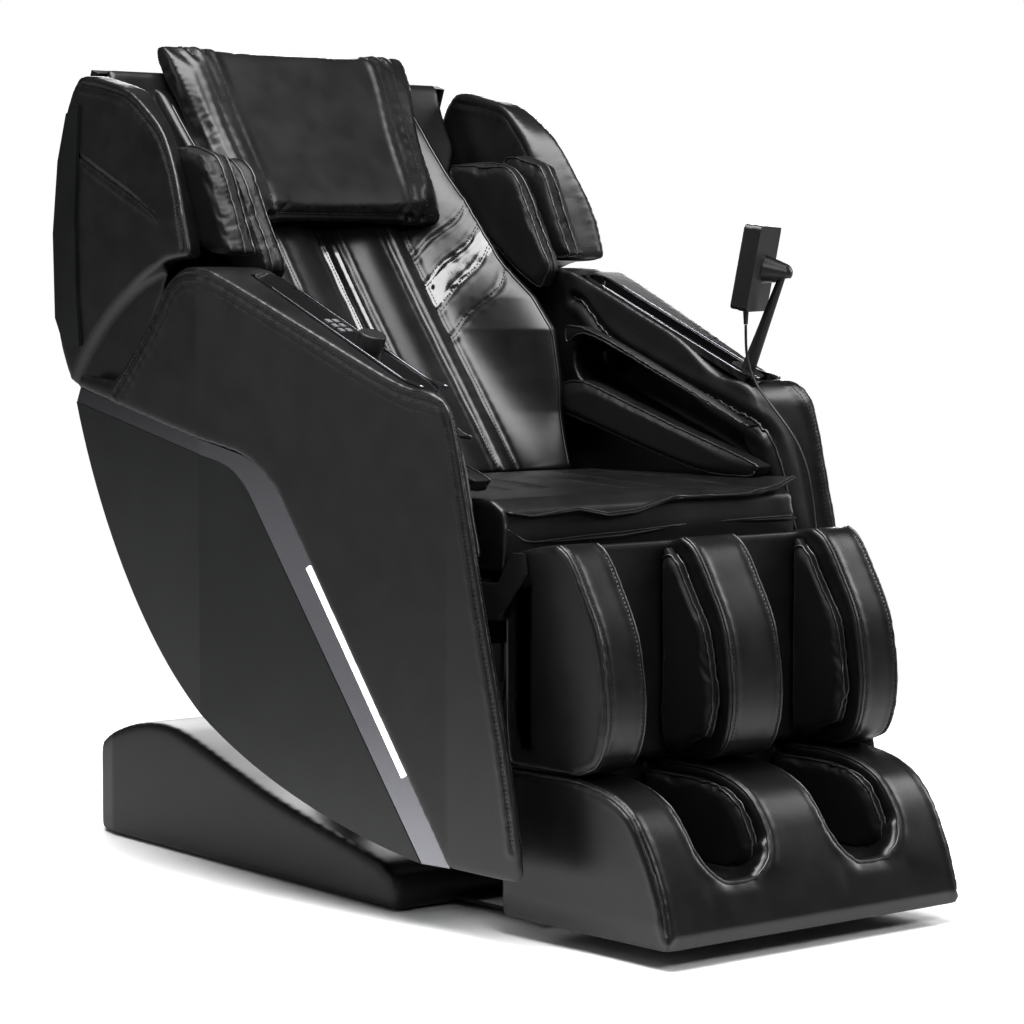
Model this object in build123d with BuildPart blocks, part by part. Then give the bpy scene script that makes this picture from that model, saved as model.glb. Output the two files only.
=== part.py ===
from build123d import *
import os
from math import cos, radians, sin

# A full-body massage chair in its upright position, in millimetres.
# +Z is up, the person sits facing -Y, and the chair's left side is +X.
# The origin is on the floor, in the middle of the chair's footprint.
# Side outlines are given as (station, height): a station is measured back from the front
# face of the foot unit, and a height up from the floor.

# ---- driving dimensions ----
LENGTH = 1500.0          # front of the foot unit to the back of the base
HALF_WIDTH = 410.0       # outer face of the sides, where they are widest
FRONT_HALF_WIDTH = 350.0  # outer face of the sides at their front edge
TAPER_START = 380.0      # station where the sides start to spread
TAPER_END = 900.0        # station from where the sides run parallel
ARM_INNER = 292.0        # inner face of the arm rests
LEG_HALF_WIDTH = 280.0   # calf and foot units
BACK_HALF_WIDTH = 250.0  # back pad
TALL = 1300.0            # above everything, for cutting blocks

# ---- pivots and tracks, as (station, height) ----
TILT_PIVOT = (860.0, 260.0)
RECLINE_PIVOT = (900.0, 480.0)
LEG_PIVOT = (300.0, 520.0)
LIFT_PIN = (720.0, 260.0)
PIN_RADIUS = 11.95       # main pivot pins, in holes of 12
HOLE_RADIUS = 12.0
GAP = 0.3                # between pieces that move past each other
TRACK_FOOT = (966.0, 781.0)                    # point of the back pad's face where the rollers rest
TRACK_DIR = (0.6235, 0.7818)                   # along the massage track
TRACK_IN = (0.7818, -0.6235)                   # from the pad's face into the back
ARM_SLOPE = 22.0                               # degrees, slope of the arm rests' tops
ARM_TOP_START = (483.0, 769.0)                 # a point on the arm rest's top line
ARM_BACK = 1000.0                              # the thick part of an arm ends here, ahead of the wing
CONSOLE_X = 322.0
CONSOLE_STATION = 650.0
CONSOLE_LENGTH = 440.0                         # along the slope
CONSOLE_WIDTH = 46.0

# ---- side outlines ----
TRIM_UPPER = [(1226, 742), (753, 643), (378, 96)]
TRIM_LOWER = [(1237, 720), (816, 634), (435, 96)]
TRIM_UPPER_BEND = 160.0
TRIM_LOWER_BEND = 120.0
PANEL_ARC = [(435, 96), (656, 150), (962, 310), (1128, 499), (1237, 720)]
ARM_TOP = [(1226, 742), (1225, 762), (1128, 744), (1029, 843), (972, 911), (929, 928), (895, 928),
           (835, 911), (483, 769), (398, 750), (364, 710), (305, 476), (252, 276), (224, 144),
           (216, 108), (263, 97), (378, 96)]
WING_OUTLINE = [(1237, 1224), (1169, 1207), (1097, 1184), (1061, 1163), (1044, 1133), (1027, 1071),
                (1011, 979), (1017, 927), (1035, 880), (1075, 815), (1130, 745), (1175, 712),
                (1239, 715), (1283, 760), (1320, 846), (1324, 982), (1309, 1095), (1275, 1190)]
PAD_FRONT = [(828, 611), (890, 688), (966, 781), (1043, 877), (1117, 974), (1170, 1050),
             (1215, 1130), (1255, 1212)]
PAD_REAR = [(1273, 1212), (1246, 1130), (1207, 1045), (1160, 955), (1098, 850), (1030, 762),
            (955, 668), (885, 580)]

os.makedirs("parts", exist_ok=True)


def at(points):
    """Side outline points as (Y, Z) of the part's own frame."""
    return [(station - LENGTH / 2, height) for station, height in points]


def spot(x, point):
    """A point of the side view, at X, as a point in space."""
    return (x, point[0] - LENGTH / 2, point[1])


def track(along, depth):
    """Side-view point this far up the massage track and this deep behind the pad's face."""
    return (TRACK_FOOT[0] + along * TRACK_DIR[0] + depth * TRACK_IN[0],
            TRACK_FOOT[1] + along * TRACK_DIR[1] + depth * TRACK_IN[1])


def strip(along_low, along_high, depth_low, depth_high):
    """Four corners of a block that lies along the massage track."""
    return [track(along_low, depth_low), track(along_high, depth_low),
            track(along_high, depth_high), track(along_low, depth_high)]


def arm_top(station):
    """Height of the arm rest's top line at a station."""
    return ARM_TOP_START[1] + (station - ARM_TOP_START[0]) * sin(radians(ARM_SLOPE)) / cos(radians(ARM_SLOPE))


def arm_plane(side, station, lift=0.0):
    """The plane of an arm rest's top at a station, with local x running up the slope."""
    height = arm_top(station)
    slope = radians(ARM_SLOPE)
    origin = (side * CONSOLE_X, station - LENGTH / 2 - lift * sin(slope), height + lift * cos(slope))
    return Plane(origin=origin, x_dir=(0, cos(slope), sin(slope)), z_dir=(0, -sin(slope), cos(slope)))


def save(builder, name):
    builder.part.label = name
    export_step(builder.part, f"parts/{name}.step")


def slab(outline, x_from, x_to, mode=Mode.ADD):
    """Inside a part: a block with a straight-edged side outline between two X values."""
    with BuildSketch(Plane.YZ.offset(x_from)) as profile:
        with BuildLine():
            Polyline(*at(outline), close=True)
        make_face()
    extrude(profile.sketch, amount=x_to - x_from, mode=mode)


def slab_pair(outline, x_from, x_to, mode=Mode.ADD):
    """The same block on both sides of the chair."""
    slab(outline, x_from, x_to, mode)
    slab(outline, -x_to, -x_from, mode)


def rod(x_from, x_to, point, radius, mode=Mode.ADD):
    """Inside a part: a round bar along X through a side-view point."""
    with BuildSketch(Plane.YZ.offset(x_from)) as profile:
        with Locations(at([point])[0]):
            Circle(radius)
    extrude(profile.sketch, amount=x_to - x_from, mode=mode)


def rod_pair(x_from, x_to, point, radius, mode=Mode.ADD):
    rod(x_from, x_to, point, radius, mode)
    rod(-x_to, -x_from, point, radius, mode)


def block(x_span, station_span, height_span, mode=Mode.ADD):
    """Inside a part: an upright box between two corners."""
    low, high = station_span
    slab([(low, height_span[0]), (high, height_span[0]), (high, height_span[1]), (low, height_span[1])],
         x_span[0], x_span[1], mode)


def flank_plan(skin, depth, inner=None):
    """Plan of the right side between two depths below its outer face.

    With inner, the wall fills in to that X as far back as the wings allow.
    """
    front, rear = FRONT_HALF_WIDTH, HALF_WIDTH
    outer_line = [(-(front - skin), 0), (-(front - skin), TAPER_START), (-(rear - skin), TAPER_END),
                  (-(rear - skin), LENGTH)]
    if inner is None:
        inner_line = [(-(rear - depth), LENGTH), (-(rear - depth), TAPER_END),
                      (-(front - depth), TAPER_START), (-(front - depth), 0)]
    else:
        inner_line = [(-(rear - depth), LENGTH), (-(rear - depth), ARM_BACK), (-inner, ARM_BACK), (-inner, 0)]
    return [(x, station - LENGTH / 2) for x, station in outer_line + inner_line]


def trim_to_plan(plan):
    """Inside a part: keep only what is above a plan outline."""
    with BuildSketch(Plane.XY) as footprint:
        with BuildLine():
            Polyline(*plan, close=True)
        make_face()
    extrude(footprint.sketch, amount=TALL, mode=Mode.INTERSECT)


def bent_line(points, bend):
    """Inside a BuildLine: two straight runs joined by one tangent arc."""
    return FilletPolyline(*at(points), radius=bend)


def mirrored(builder, name):
    """The same piece on the chair's left side."""
    with BuildPart() as twin:
        mirror(builder.part, about=Plane.YZ)
    save(twin, name)
    return twin


# ---- base: steel floor frame, plastic cover, feet, mains inlet and switch ----
RAIL_X = (135.0, 165.0)
CAVITY = [(585, 14), (585, 160), (1215, 240), (1215, 14)]

with BuildPart() as base_frame:
    block((-190, 190), (372, 1410), (8, 14))
    block((-280, 280), (600, 660), (8, 14))
    for x_low, x_high in (RAIL_X, (-RAIL_X[1], -RAIL_X[0])):
        block((x_low, x_high), (600, 1190), (14, 40))
save(base_frame, "base_frame")

BASE_SIDE = [(562, 3), (562, 44), (640, 78), (900, 128), (1120, 186), (1234, 203), (1330, 186),
             (1414, 156), (1500, 96), (1500, 3)]
BASE_PLAN = [(305, 562), (300, 640), (208, 1390), (196, 1438), (164, 1478), (110, 1500)]
WALL = 5.0


def base_body(shrink):
    """The base cover's outer form, drawn in by a wall thickness."""
    side = [(562 + shrink, 3)] + [(station + (shrink if station < 900 else 0), height - shrink)
                                  for station, height in BASE_SIDE[1:8]]
    side += [(LENGTH - shrink, 96 - shrink), (LENGTH - shrink, 3)]
    right = [(-(x - shrink), min(max(station, 562 + shrink), LENGTH - shrink)) for x, station in BASE_PLAN]
    left = [(-x, station) for x, station in reversed(right)]
    with BuildPart() as body:
        slab(side, -320, 320)
        trim_to_plan([(x, station - LENGTH / 2) for x, station in right + left])
    return body.part


cover_outside = base_body(0)
cover_inside = base_body(WALL)
with BuildPart() as base_cover:
    add(cover_outside)
    add(cover_inside, mode=Mode.SUBTRACT)
    slab(CAVITY, -182, 182, Mode.SUBTRACT)
    block((-196, 196), (555, 575), (0, 20), Mode.SUBTRACT)
    block((16, 68), (1480, 1510), (34, 66), Mode.SUBTRACT)
    block((-62, -34), (1480, 1510), (38, 62), Mode.SUBTRACT)
save(base_cover, "base_cover")

FOOT_SPOTS = [(165, 395), (262, 630), (165, 900), (165, 1390)]
with BuildPart() as base_feet:
    with BuildSketch(Plane.XY):
        for x, station in FOOT_SPOTS:
            with Locations((x, station - LENGTH / 2), (-x, station - LENGTH / 2)):
                Circle(18)
    extrude(amount=8)
save(base_feet, "base_feet")

with BuildPart() as power_inlet:
    block((16.2, 67.8), (1462, 1498), (34.2, 65.8))
    block((27, 57), (1480, 1499), (41, 59), Mode.SUBTRACT)
    for x in (34, 42, 50):
        block((x - 1, x + 1), (1479, 1494), (47, 53))
save(power_inlet, "power_inlet")

with BuildPart() as power_switch:
    slab([(1480, 41), (1498, 39.5), (1495.5, 50), (1499, 60.5), (1480, 59)], -58, -38)
save(power_switch, "power_switch")

# ---- slide carriage: runs on the base rails and carries the tilting seat ----
with BuildPart() as slide_carriage:
    for side in (-1, 1):
        x_low, x_high = sorted((side * 131, side * 169))
        block((x_low, x_high), (720, 1150), (40 + GAP, 66))
        ear_low, ear_high = sorted((side * 150, side * 162))
        slab([(770, 66), (960, 66), (884, 282), (836, 282)], ear_low, ear_high)
    block((-150, 150), (690, 745), (66, 76))
    block((-131, 131), (745, 760), (42, 76))
    block((-150, 150), (1090, 1140), (66, 76))
    rod_pair(148, 164, TILT_PIVOT, HOLE_RADIUS, Mode.SUBTRACT)
save(slide_carriage, "slide_carriage")

LIFT_LEAN = 6.0
lift_dir = Vector(0, sin(radians(LIFT_LEAN)), cos(radians(LIFT_LEAN)))
LIFT_LENGTH = 110.0
lift_foot = Vector(*spot(0, LIFT_PIN)) - lift_dir * 182
with BuildPart() as lift_actuator:
    with BuildSketch(Plane(origin=lift_foot, z_dir=lift_dir)):
        Circle(22)
    extrude(amount=LIFT_LENGTH)
    with BuildSketch(Plane(origin=lift_foot + lift_dir * 8, z_dir=lift_dir)):
        Circle(8 + GAP)
    extrude(amount=LIFT_LENGTH, mode=Mode.SUBTRACT)
save(lift_actuator, "lift_actuator")

with BuildPart() as lift_rod:
    with BuildSketch(Plane(origin=lift_foot + lift_dir * 60, z_dir=lift_dir)):
        Circle(8)
    extrude(amount=108)
    block((-8, 8), (LIFT_PIN[0] - 18, LIFT_PIN[0] + 18), (LIFT_PIN[1] - 18, LIFT_PIN[1] + 18))
    block((-9, 9), (LIFT_PIN[0] - 12, LIFT_PIN[0] + 12), (LIFT_PIN[1] - 8.5, LIFT_PIN[1] + 8.5),
          Mode.SUBTRACT)
save(lift_rod, "lift_rod")

# ---- seat: welded frame with side rails, cross bars and all the pivot pins ----
with BuildPart() as seat_frame:
    for side in (-1, 1):
        low, high = sorted((side * 262, side * 287))
        block((low, high), (345, 960), (440, 490))
        plate_low, plate_high = sorted((side * 125, side * 135))
        slab([(800, 445), (930, 445), (888, 240), (832, 240)], plate_low, plate_high)
        ear_low, ear_high = sorted((side * 283, side * 289))
        slab([(345, 442), (430, 442), (430, 488), (345, 488), (312, 536), (288, 536), (284, 508)],
             ear_low, ear_high)
    block((-262, 262), (365, 385), (487, 499))
    block((-262, 262), (705, 735), (440, 490))
    block((-262, 262), (800, 830), (440, 490))
    block((20, 262), (530, 555), (440, 490))
    block((46, 74), (530, 542), (385, 440))
    rod(-135, 135, TILT_PIVOT, 18)
    rod_pair(135, 162, TILT_PIVOT, PIN_RADIUS)
    rod_pair(229, 262, RECLINE_PIVOT, PIN_RADIUS)
    rod_pair(262, 284, LEG_PIVOT, 7.95)
    for x in (-20, 12):
        slab([(700, 490), (735, 490), (735, 300), (728, 250), (712, 250), (705, 300)], x, x + 8)
    rod(-20, 20, LIFT_PIN, 6)
save(seat_frame, "seat_frame")

with BuildPart() as seat_cushion:
    slab([(342, 505), (338, 560), (345, 592), (372, 606), (795, 602), (812, 590), (812, 505)], -280, 280)
    fillet(seat_cushion.edges().filter_by(Axis.X).group_by(Axis.Z)[-1], 12)
save(seat_cushion, "seat_cushion")

with BuildPart() as control_box:
    block((-205, -90), (560, 690), (378, 439))
    fillet(control_box.edges().filter_by(Axis.Z), 6)
save(control_box, "control_box")


def cylinder_along_y(x, height, radius, station_from, station_to, mode=Mode.ADD):
    start = Plane(origin=spot(x, (station_from, height)), x_dir=(1, 0, 0), z_dir=(0, 1, 0))
    with BuildSketch(start) as profile:
        Circle(radius)
    extrude(profile.sketch, amount=station_to - station_from, mode=mode)


RECLINE_LEVER = 80.0
RECLINE_PIN = (RECLINE_PIVOT[0] + RECLINE_LEVER * sin(radians(20)),
               RECLINE_PIVOT[1] - RECLINE_LEVER * cos(radians(20)))
RECLINE_ROD_HEIGHT = RECLINE_PIN[1] - 2.5
with BuildPart() as recline_actuator:
    cylinder_along_y(60, RECLINE_ROD_HEIGHT, 24, 542, 800)
    cylinder_along_y(60, RECLINE_ROD_HEIGHT, 8 + GAP, 640, 800, Mode.SUBTRACT)
save(recline_actuator, "recline_actuator")

with BuildPart() as recline_rod:
    cylinder_along_y(60, RECLINE_ROD_HEIGHT, 8, 730, RECLINE_PIN[0] - 36)
    block((50, 70), (RECLINE_PIN[0] - 40, RECLINE_PIN[0] + 16),
          (RECLINE_ROD_HEIGHT - 22, RECLINE_ROD_HEIGHT + 22))
    block((49, 71), (RECLINE_PIN[0] - 9, RECLINE_PIN[0] + 9),
          (RECLINE_ROD_HEIGHT - 14, RECLINE_ROD_HEIGHT + 14),
          Mode.SUBTRACT)
    block((55, 65), (RECLINE_PIN[0] - 30, RECLINE_PIN[0] + 20),
          (RECLINE_ROD_HEIGHT - 30, RECLINE_ROD_HEIGHT + 30),
          Mode.SUBTRACT)
save(recline_rod, "recline_rod")

LEG_LEVER = 60.0
LEG_PIN = (LEG_PIVOT[0] + LEG_LEVER * sin(radians(40)), LEG_PIVOT[1] - LEG_LEVER * cos(radians(40)))
LEG_ROD_HEIGHT = LEG_PIN[1] - 7.0
with BuildPart() as legrest_actuator:
    cylinder_along_y(-60, LEG_ROD_HEIGHT, 22, 480, 705)
    cylinder_along_y(-60, LEG_ROD_HEIGHT, 8 + GAP, 479, 640, Mode.SUBTRACT)
save(legrest_actuator, "legrest_actuator")

with BuildPart() as legrest_rod:
    cylinder_along_y(-60, LEG_ROD_HEIGHT, 8, LEG_PIN[0] + 38, 600)
    block((-70, -50), (LEG_PIN[0] - 14, LEG_PIN[0] + 42), (LEG_ROD_HEIGHT - 24, LEG_ROD_HEIGHT + 16))
    block((-71, -49), (LEG_PIN[0] - 9, LEG_PIN[0] + 9), (LEG_ROD_HEIGHT - 18, LEG_ROD_HEIGHT + 14.5),
          Mode.SUBTRACT)
    block((-65, -55), (LEG_PIN[0] - 20, LEG_PIN[0] + 32), (LEG_ROD_HEIGHT - 30, LEG_ROD_HEIGHT + 20),
          Mode.SUBTRACT)
save(legrest_rod, "legrest_rod")

# ---- sides: lower panel, bright trim band, light strip, padded arm ----
with BuildPart() as side_panel_right:
    with BuildSketch(Plane.YZ.offset(-HALF_WIDTH - 10)):
        with BuildLine():
            bent_line(TRIM_LOWER, TRIM_LOWER_BEND)
            Spline(*at(PANEL_ARC))
        make_face()
    extrude(amount=120)
    trim_to_plan(flank_plan(4, 22))
save(side_panel_right, "side_panel_right")
mirrored(side_panel_right, "side_panel_left")

with BuildPart() as side_trim_right:
    with BuildSketch(Plane.YZ.offset(-HALF_WIDTH - 10)):
        with BuildLine():
            bent_line(TRIM_UPPER, TRIM_UPPER_BEND)
            Line(at(TRIM_UPPER)[2], at(TRIM_LOWER)[2])
            bent_line(TRIM_LOWER, TRIM_LOWER_BEND)
            Line(at(TRIM_LOWER)[0], at(TRIM_UPPER)[0])
        make_face()
    extrude(amount=120)
    trim_to_plan(flank_plan(5, 20))
save(side_trim_right, "side_trim_right")
mirrored(side_trim_right, "side_trim_left")

LED_WIDTH = 8.0
with BuildPart() as led_strips:
    run = Vector(TRIM_UPPER[1][0] - TRIM_UPPER[2][0], TRIM_UPPER[1][1] - TRIM_UPPER[2][1], 0).normalized()
    across = Vector(run.Y, -run.X, 0)
    start = Vector(462, 218.5, 0) + across * 1.5
    end = start + run * 343
    corners = [start, end, end + across * LED_WIDTH, start + across * LED_WIDTH]
    slab([(c.X, c.Y) for c in corners], -HALF_WIDTH, -300)
    trim_to_plan(flank_plan(1, 5))
    mirror(about=Plane.YZ)
save(led_strips, "led_strips")

CHANNEL = [(420, 618), (800, 735), (850, 760), (850, 800), (800, 815), (440, 690)]  # forearm channel


def arm_outline():
    """The padded side's outline as a thick block, before it is cut to its plan."""
    with BuildPart() as blank:
        with BuildSketch(Plane.YZ.offset(-HALF_WIDTH - 10)):
            with BuildLine():
                bent_line(TRIM_UPPER, TRIM_UPPER_BEND)
                Polyline(*at(ARM_TOP))
            make_face()
        extrude(amount=160)
    return blank.part


with BuildPart() as arm_core:
    add(arm_outline())
    trim_to_plan(flank_plan(1, 20, ARM_INNER))
    slab([(200, 80), (200, 500), (1010, 560), (1010, 620), (1300, 620), (1300, 80)],
         -420, -250, Mode.SUBTRACT)
with BuildPart() as arm_shell_right:
    add(arm_outline())
    trim_to_plan(flank_plan(0, 22))
    add(arm_core.part)
    slab(CHANNEL, -348, -285, Mode.SUBTRACT)
    with BuildSketch(arm_plane(-1, CONSOLE_STATION, -9)):
        SlotOverall(CONSOLE_LENGTH + 0.4, CONSOLE_WIDTH + 0.4)
    extrude(amount=30, mode=Mode.SUBTRACT)
save(arm_shell_right, "arm_shell_right")
arm_shell_left = mirrored(arm_shell_right, "arm_shell_left")

with BuildPart() as arm_airbags_right:
    slab([(402, 622), (410, 640), (640, 712), (788, 752), (850, 748), (888, 726), (880, 706), (740, 664),
          (540, 616), (420, 612)], -291, -254)
    slab([(440, 697), (620, 768), (770, 826), (845, 838), (846, 806), (790, 820), (620, 757), (450, 694)],
         -291, -262)
save(arm_airbags_right, "arm_airbags_right")
mirrored(arm_airbags_right, "arm_airbags_left")

# ---- right console: glossy panel with six keys and a round speed knob ----
KEY_STATION = 664.0
KNOB_STATION = 590.0
KEY_PITCH = (17.0, 13.0)
KEY_SIZE = (12.0, 8.0)


def key_offsets():
    """Centres of the keys on the panel: two rows of three."""
    across, along = KEY_PITCH
    return [((column - 1) * across, (row - 0.5) * along) for row in range(2) for column in range(3)]


with BuildPart() as console_right:
    with BuildSketch(arm_plane(-1, CONSOLE_STATION, -8.9)):
        SlotOverall(CONSOLE_LENGTH, CONSOLE_WIDTH)
    extrude(amount=10)
    with BuildSketch(arm_plane(-1, KEY_STATION, -3.4)):
        with Locations(*key_offsets()):
            Rectangle(KEY_SIZE[0] + 2 * GAP, KEY_SIZE[1] + 2 * GAP)
    extrude(amount=10, mode=Mode.SUBTRACT)
    with BuildSketch(arm_plane(-1, KNOB_STATION, -6)):
        Circle(5.05)
    extrude(amount=12, mode=Mode.SUBTRACT)
save(console_right, "console_right")

for number, offset in enumerate(key_offsets(), start=1):
    with BuildPart() as key:
        with BuildSketch(arm_plane(-1, KEY_STATION, -1.5)):
            with Locations(offset):
                Rectangle(*KEY_SIZE)
        extrude(amount=4.4)
        fillet(key.faces().sort_by(Axis.Z)[-1].edges(), 0.8)
    save(key, f"key_{number}")

with BuildPart() as control_knob:
    with BuildSketch(arm_plane(-1, KNOB_STATION, 1.1 + GAP)):
        Circle(20)
    extrude(amount=22)
    fillet(control_knob.edges().filter_by(GeomType.CIRCLE).sort_by(Axis.Z)[-1], 3)
    with BuildSketch(arm_plane(-1, KNOB_STATION, -5)):
        Circle(5)
    extrude(amount=8)
save(control_knob, "control_knob")

# ---- left console: an open tray ----
with BuildPart() as console_left:
    with BuildSketch(arm_plane(1, CONSOLE_STATION, -8.9)):
        SlotOverall(CONSOLE_LENGTH, CONSOLE_WIDTH)
    extrude(amount=10)
    with BuildSketch(arm_plane(1, CONSOLE_STATION, -5)):
        SlotOverall(CONSOLE_LENGTH - 14, CONSOLE_WIDTH - 14)
    extrude(amount=12, mode=Mode.SUBTRACT)
save(console_left, "console_left")

# ---- tablet on its stand, over the left arm rest ----
TABLET_TILT = radians(10)
tablet_across = Vector(0.8, 0.6, 0)
tablet_out = Vector(-0.6 * cos(TABLET_TILT), 0.8 * cos(TABLET_TILT), sin(TABLET_TILT))
tablet_centre = Vector(*spot(319, (469, 928)))
BALL_BACK = 44.0
ball_centre = tablet_centre - tablet_out * BALL_BACK
stand_foot = Vector(*spot(CONSOLE_X, (488, arm_top(488))))


def tablet_plane(lift):
    return Plane(origin=tablet_centre + tablet_out * lift, x_dir=tablet_across, z_dir=tablet_out)


with BuildPart() as tablet_stand:
    with BuildSketch(arm_plane(1, 488, -5)):
        SlotOverall(62, 28)
    extrude(amount=8)
    pole_dir = (ball_centre - stand_foot).normalized()
    with BuildSketch(Plane(origin=stand_foot, z_dir=pole_dir)):
        Circle(11)
    with BuildSketch(Plane(origin=ball_centre - pole_dir * 8, z_dir=pole_dir)):
        Circle(5.5)
    loft()
    with Locations(ball_centre):
        Sphere(10)
save(tablet_stand, "tablet_stand")

with BuildPart() as tablet_holder:
    with BuildSketch(tablet_plane(-14)):
        RectangleRounded(190, 130, 8)
    extrude(amount=13)
    with BuildSketch(tablet_plane(-10)):
        RectangleRounded(182, 122, 5)
    extrude(amount=10, mode=Mode.SUBTRACT)
    with BuildSketch(tablet_plane(-14)):
        Circle(22)
    with BuildSketch(tablet_plane(-BALL_BACK - 2)):
        Circle(14)
    loft()
    with Locations(ball_centre):
        Sphere(14)
        Sphere(10.05, mode=Mode.SUBTRACT)
    with BuildSketch(Plane(origin=ball_centre - Vector(0, 0, 40))):
        Circle(24)
    with BuildSketch(Plane(origin=ball_centre - Vector(0, 0, 5))):
        Circle(9.4)
    loft(mode=Mode.SUBTRACT)
save(tablet_holder, "tablet_holder")

with BuildPart() as tablet:
    with BuildSketch(tablet_plane(-9.9)):
        RectangleRounded(181.8, 121.8, 5)
    extrude(amount=9)
    with BuildSketch(tablet_plane(-0.9)):
        RectangleRounded(188, 128, 8)
    extrude(amount=13)
    fillet(tablet.faces().sort_by(Axis(tablet_centre, tablet_out))[-1].edges(), 3)
    with BuildSketch(tablet_plane(11)):
        RectangleRounded(170, 106, 3)
    extrude(amount=3, mode=Mode.SUBTRACT)
save(tablet, "tablet")

with BuildPart() as tablet_screen:
    with BuildSketch(tablet_plane(11)):
        RectangleRounded(169.6, 105.6, 3)
    extrude(amount=0.9)
save(tablet_screen, "tablet_screen")

# ---- tablet lead: from the tablet's strain relief down to a gland on the arm's front edge ----
CABLE_DIAMETER = 4.0
CABLE_POINTS = [(279, 447, 842), (279.5, 447.5, 812), (282.5, 446, 786), (286, 438, 762), (286, 420, 741),
                (286, 391, 716), (286, 362, 690), (288, 341, 664), (293, 328, 630), (298, 323, 592),
                (299, 317, 552), (297, 309, 514), (296.5, 304, 488)]
cable_route = [Vector(x, station - LENGTH / 2, height) for x, station, height in CABLE_POINTS]


def corner_radii(points):
    """The largest arc each corner can take, with 0.45 of its shorter run."""
    radii = []
    for before, corner, after in zip(points, points[1:], points[2:]):
        turn = (corner - before).get_angle(after - corner)
        shorter = min((corner - before).length, (after - corner).length)
        half = radians(turn / 2)
        radii.append(0.45 * shorter * cos(half) / sin(half))
    return radii


radii = corner_radii(cable_route)
with BuildPart() as remote_cable:
    with BuildLine() as cable_line:
        FilletPolyline(*cable_route, radius=radii)
    with BuildSketch(Plane(origin=cable_route[0], z_dir=cable_route[1] - cable_route[0])):
        Circle(CABLE_DIAMETER / 2)
    sweep()
save(remote_cable, "remote_cable")
cable_length = sum(edge.length for edge in cable_line.edges())
section = 3.14159265 * (CABLE_DIAMETER / 2) ** 2
print("cable radii", [round(r, 1) for r in radii])
volume_ratio = remote_cable.part.volume / (section * cable_length)
print("cable length", round(cable_length, 1), "volume ratio", round(volume_ratio, 5))

with BuildPart() as cable_relief:
    relief_foot = cable_route[0] + Vector(0, 0, 0.5)
    with BuildSketch(Plane(origin=relief_foot, z_dir=(0, 0, 1))):
        Circle(3)
    with BuildSketch(Plane(origin=relief_foot + Vector(0, 0, 24), z_dir=(0, 0, 1))):
        Circle(4.5)
    loft()
    add(tablet_holder.part, mode=Mode.SUBTRACT)
    add(tablet.part, mode=Mode.SUBTRACT)
save(cable_relief, "cable_relief")

with BuildPart() as cable_gland:
    gland_dir = (cable_route[-1] - cable_route[-2]).normalized()
    with BuildSketch(Plane(origin=cable_route[-1], x_dir=(1, 0, 0), z_dir=gland_dir)):
        RectangleRounded(14, 12, 3)
    extrude(amount=20)
    add(arm_shell_left.part, mode=Mode.SUBTRACT)
save(cable_gland, "cable_gland")

# ---- back: frame, shell, pad, wings, shoulder pads ----
with BuildPart() as back_frame:
    outline = [(880, 480), (886, 463), (900, 456), (918, 464), track(-150, 165), track(330, 165),
               (1307, 1100), (1268, 1100), (1260, 1000), track(330, 127), track(-150, 127), (890, 500)]
    slab_pair(outline, 228.3, 250)
    rod_pair(225, 251, RECLINE_PIVOT, HOLE_RADIUS, Mode.SUBTRACT)
    rod(-228.7, 228.7, RECLINE_PIVOT, 14)
    slab(strip(-140, -108, 150, 164), -229, 229)
    slab(strip(290, 322, 150, 164), -229, 229)
    block((-229, 229), (1272, 1300), (1068, 1090))
    slab([(886, 480), (RECLINE_PIN[0] - 12, RECLINE_PIN[1]), (RECLINE_PIN[0], RECLINE_PIN[1] - 11),
          (RECLINE_PIN[0] + 12, RECLINE_PIN[1]), (914, 480)], 56, 64)
    rod(51, 69, RECLINE_PIN, 6)
save(back_frame, "back_frame")

SHELL_REAR = [(1040, 400), (1120, 470), (1190, 560), (1250, 660), (1300, 770), (1330, 880), (1340, 980),
              (1330, 1080), (1308, 1170), (1280, 1238)]
SHELL_FRONT = [(1262, 1232), (1290, 1160), (1292, 1110), (1250, 1000), (1190, 880), (1130, 760), (1060, 640),
               (1012, 520), (1000, 420)]
with BuildPart() as back_shell:
    slab(SHELL_REAR + SHELL_FRONT, -346, 346)
    inner = [(station - 5, height - 3) for station, height in SHELL_REAR[1:-1]]
    slab([(1037, 404)] + inner + [(1277, 1230), (1220, 1240), (1180, 1100), (980, 700), (980, 404)],
         -341, 341, Mode.SUBTRACT)
save(back_shell, "back_shell")

BOLSTER = [(1085, 996), (1030, 955), (945, 893), (866, 830), (847, 765), (836, 690), (828, 611)]
UPPER_BORDER = [(1120, 1112), (1095, 1030), (1086, 997), (1117, 974), (1170, 1050), (1195, 1094)]
with BuildPart() as back_pad:
    slab(PAD_FRONT + PAD_REAR, -BACK_HALF_WIDTH, BACK_HALF_WIDTH)
    slab_pair(BOLSTER + [(890, 688), (966, 781), (1043, 877), (1117, 974)], 205, BACK_HALF_WIDTH)
    slab_pair(UPPER_BORDER, 236, BACK_HALF_WIDTH)
    slab(strip(-240, 330, 50, 140), -125, 125, Mode.SUBTRACT)
save(back_pad, "back_pad")

WING_SWEEP = 455.0       # inside this radius of the recline pivot a wing passes behind the arm
with BuildPart() as wing_right:
    slab(WING_OUTLINE, -392, -350)
    with BuildSketch(Plane.YZ.offset(-400)):
        with Locations(at([RECLINE_PIVOT])[0]):
            Circle(WING_SWEEP)
    extrude(amount=18, mode=Mode.SUBTRACT)
save(wing_right, "wing_right")
mirrored(wing_right, "wing_left")

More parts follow.
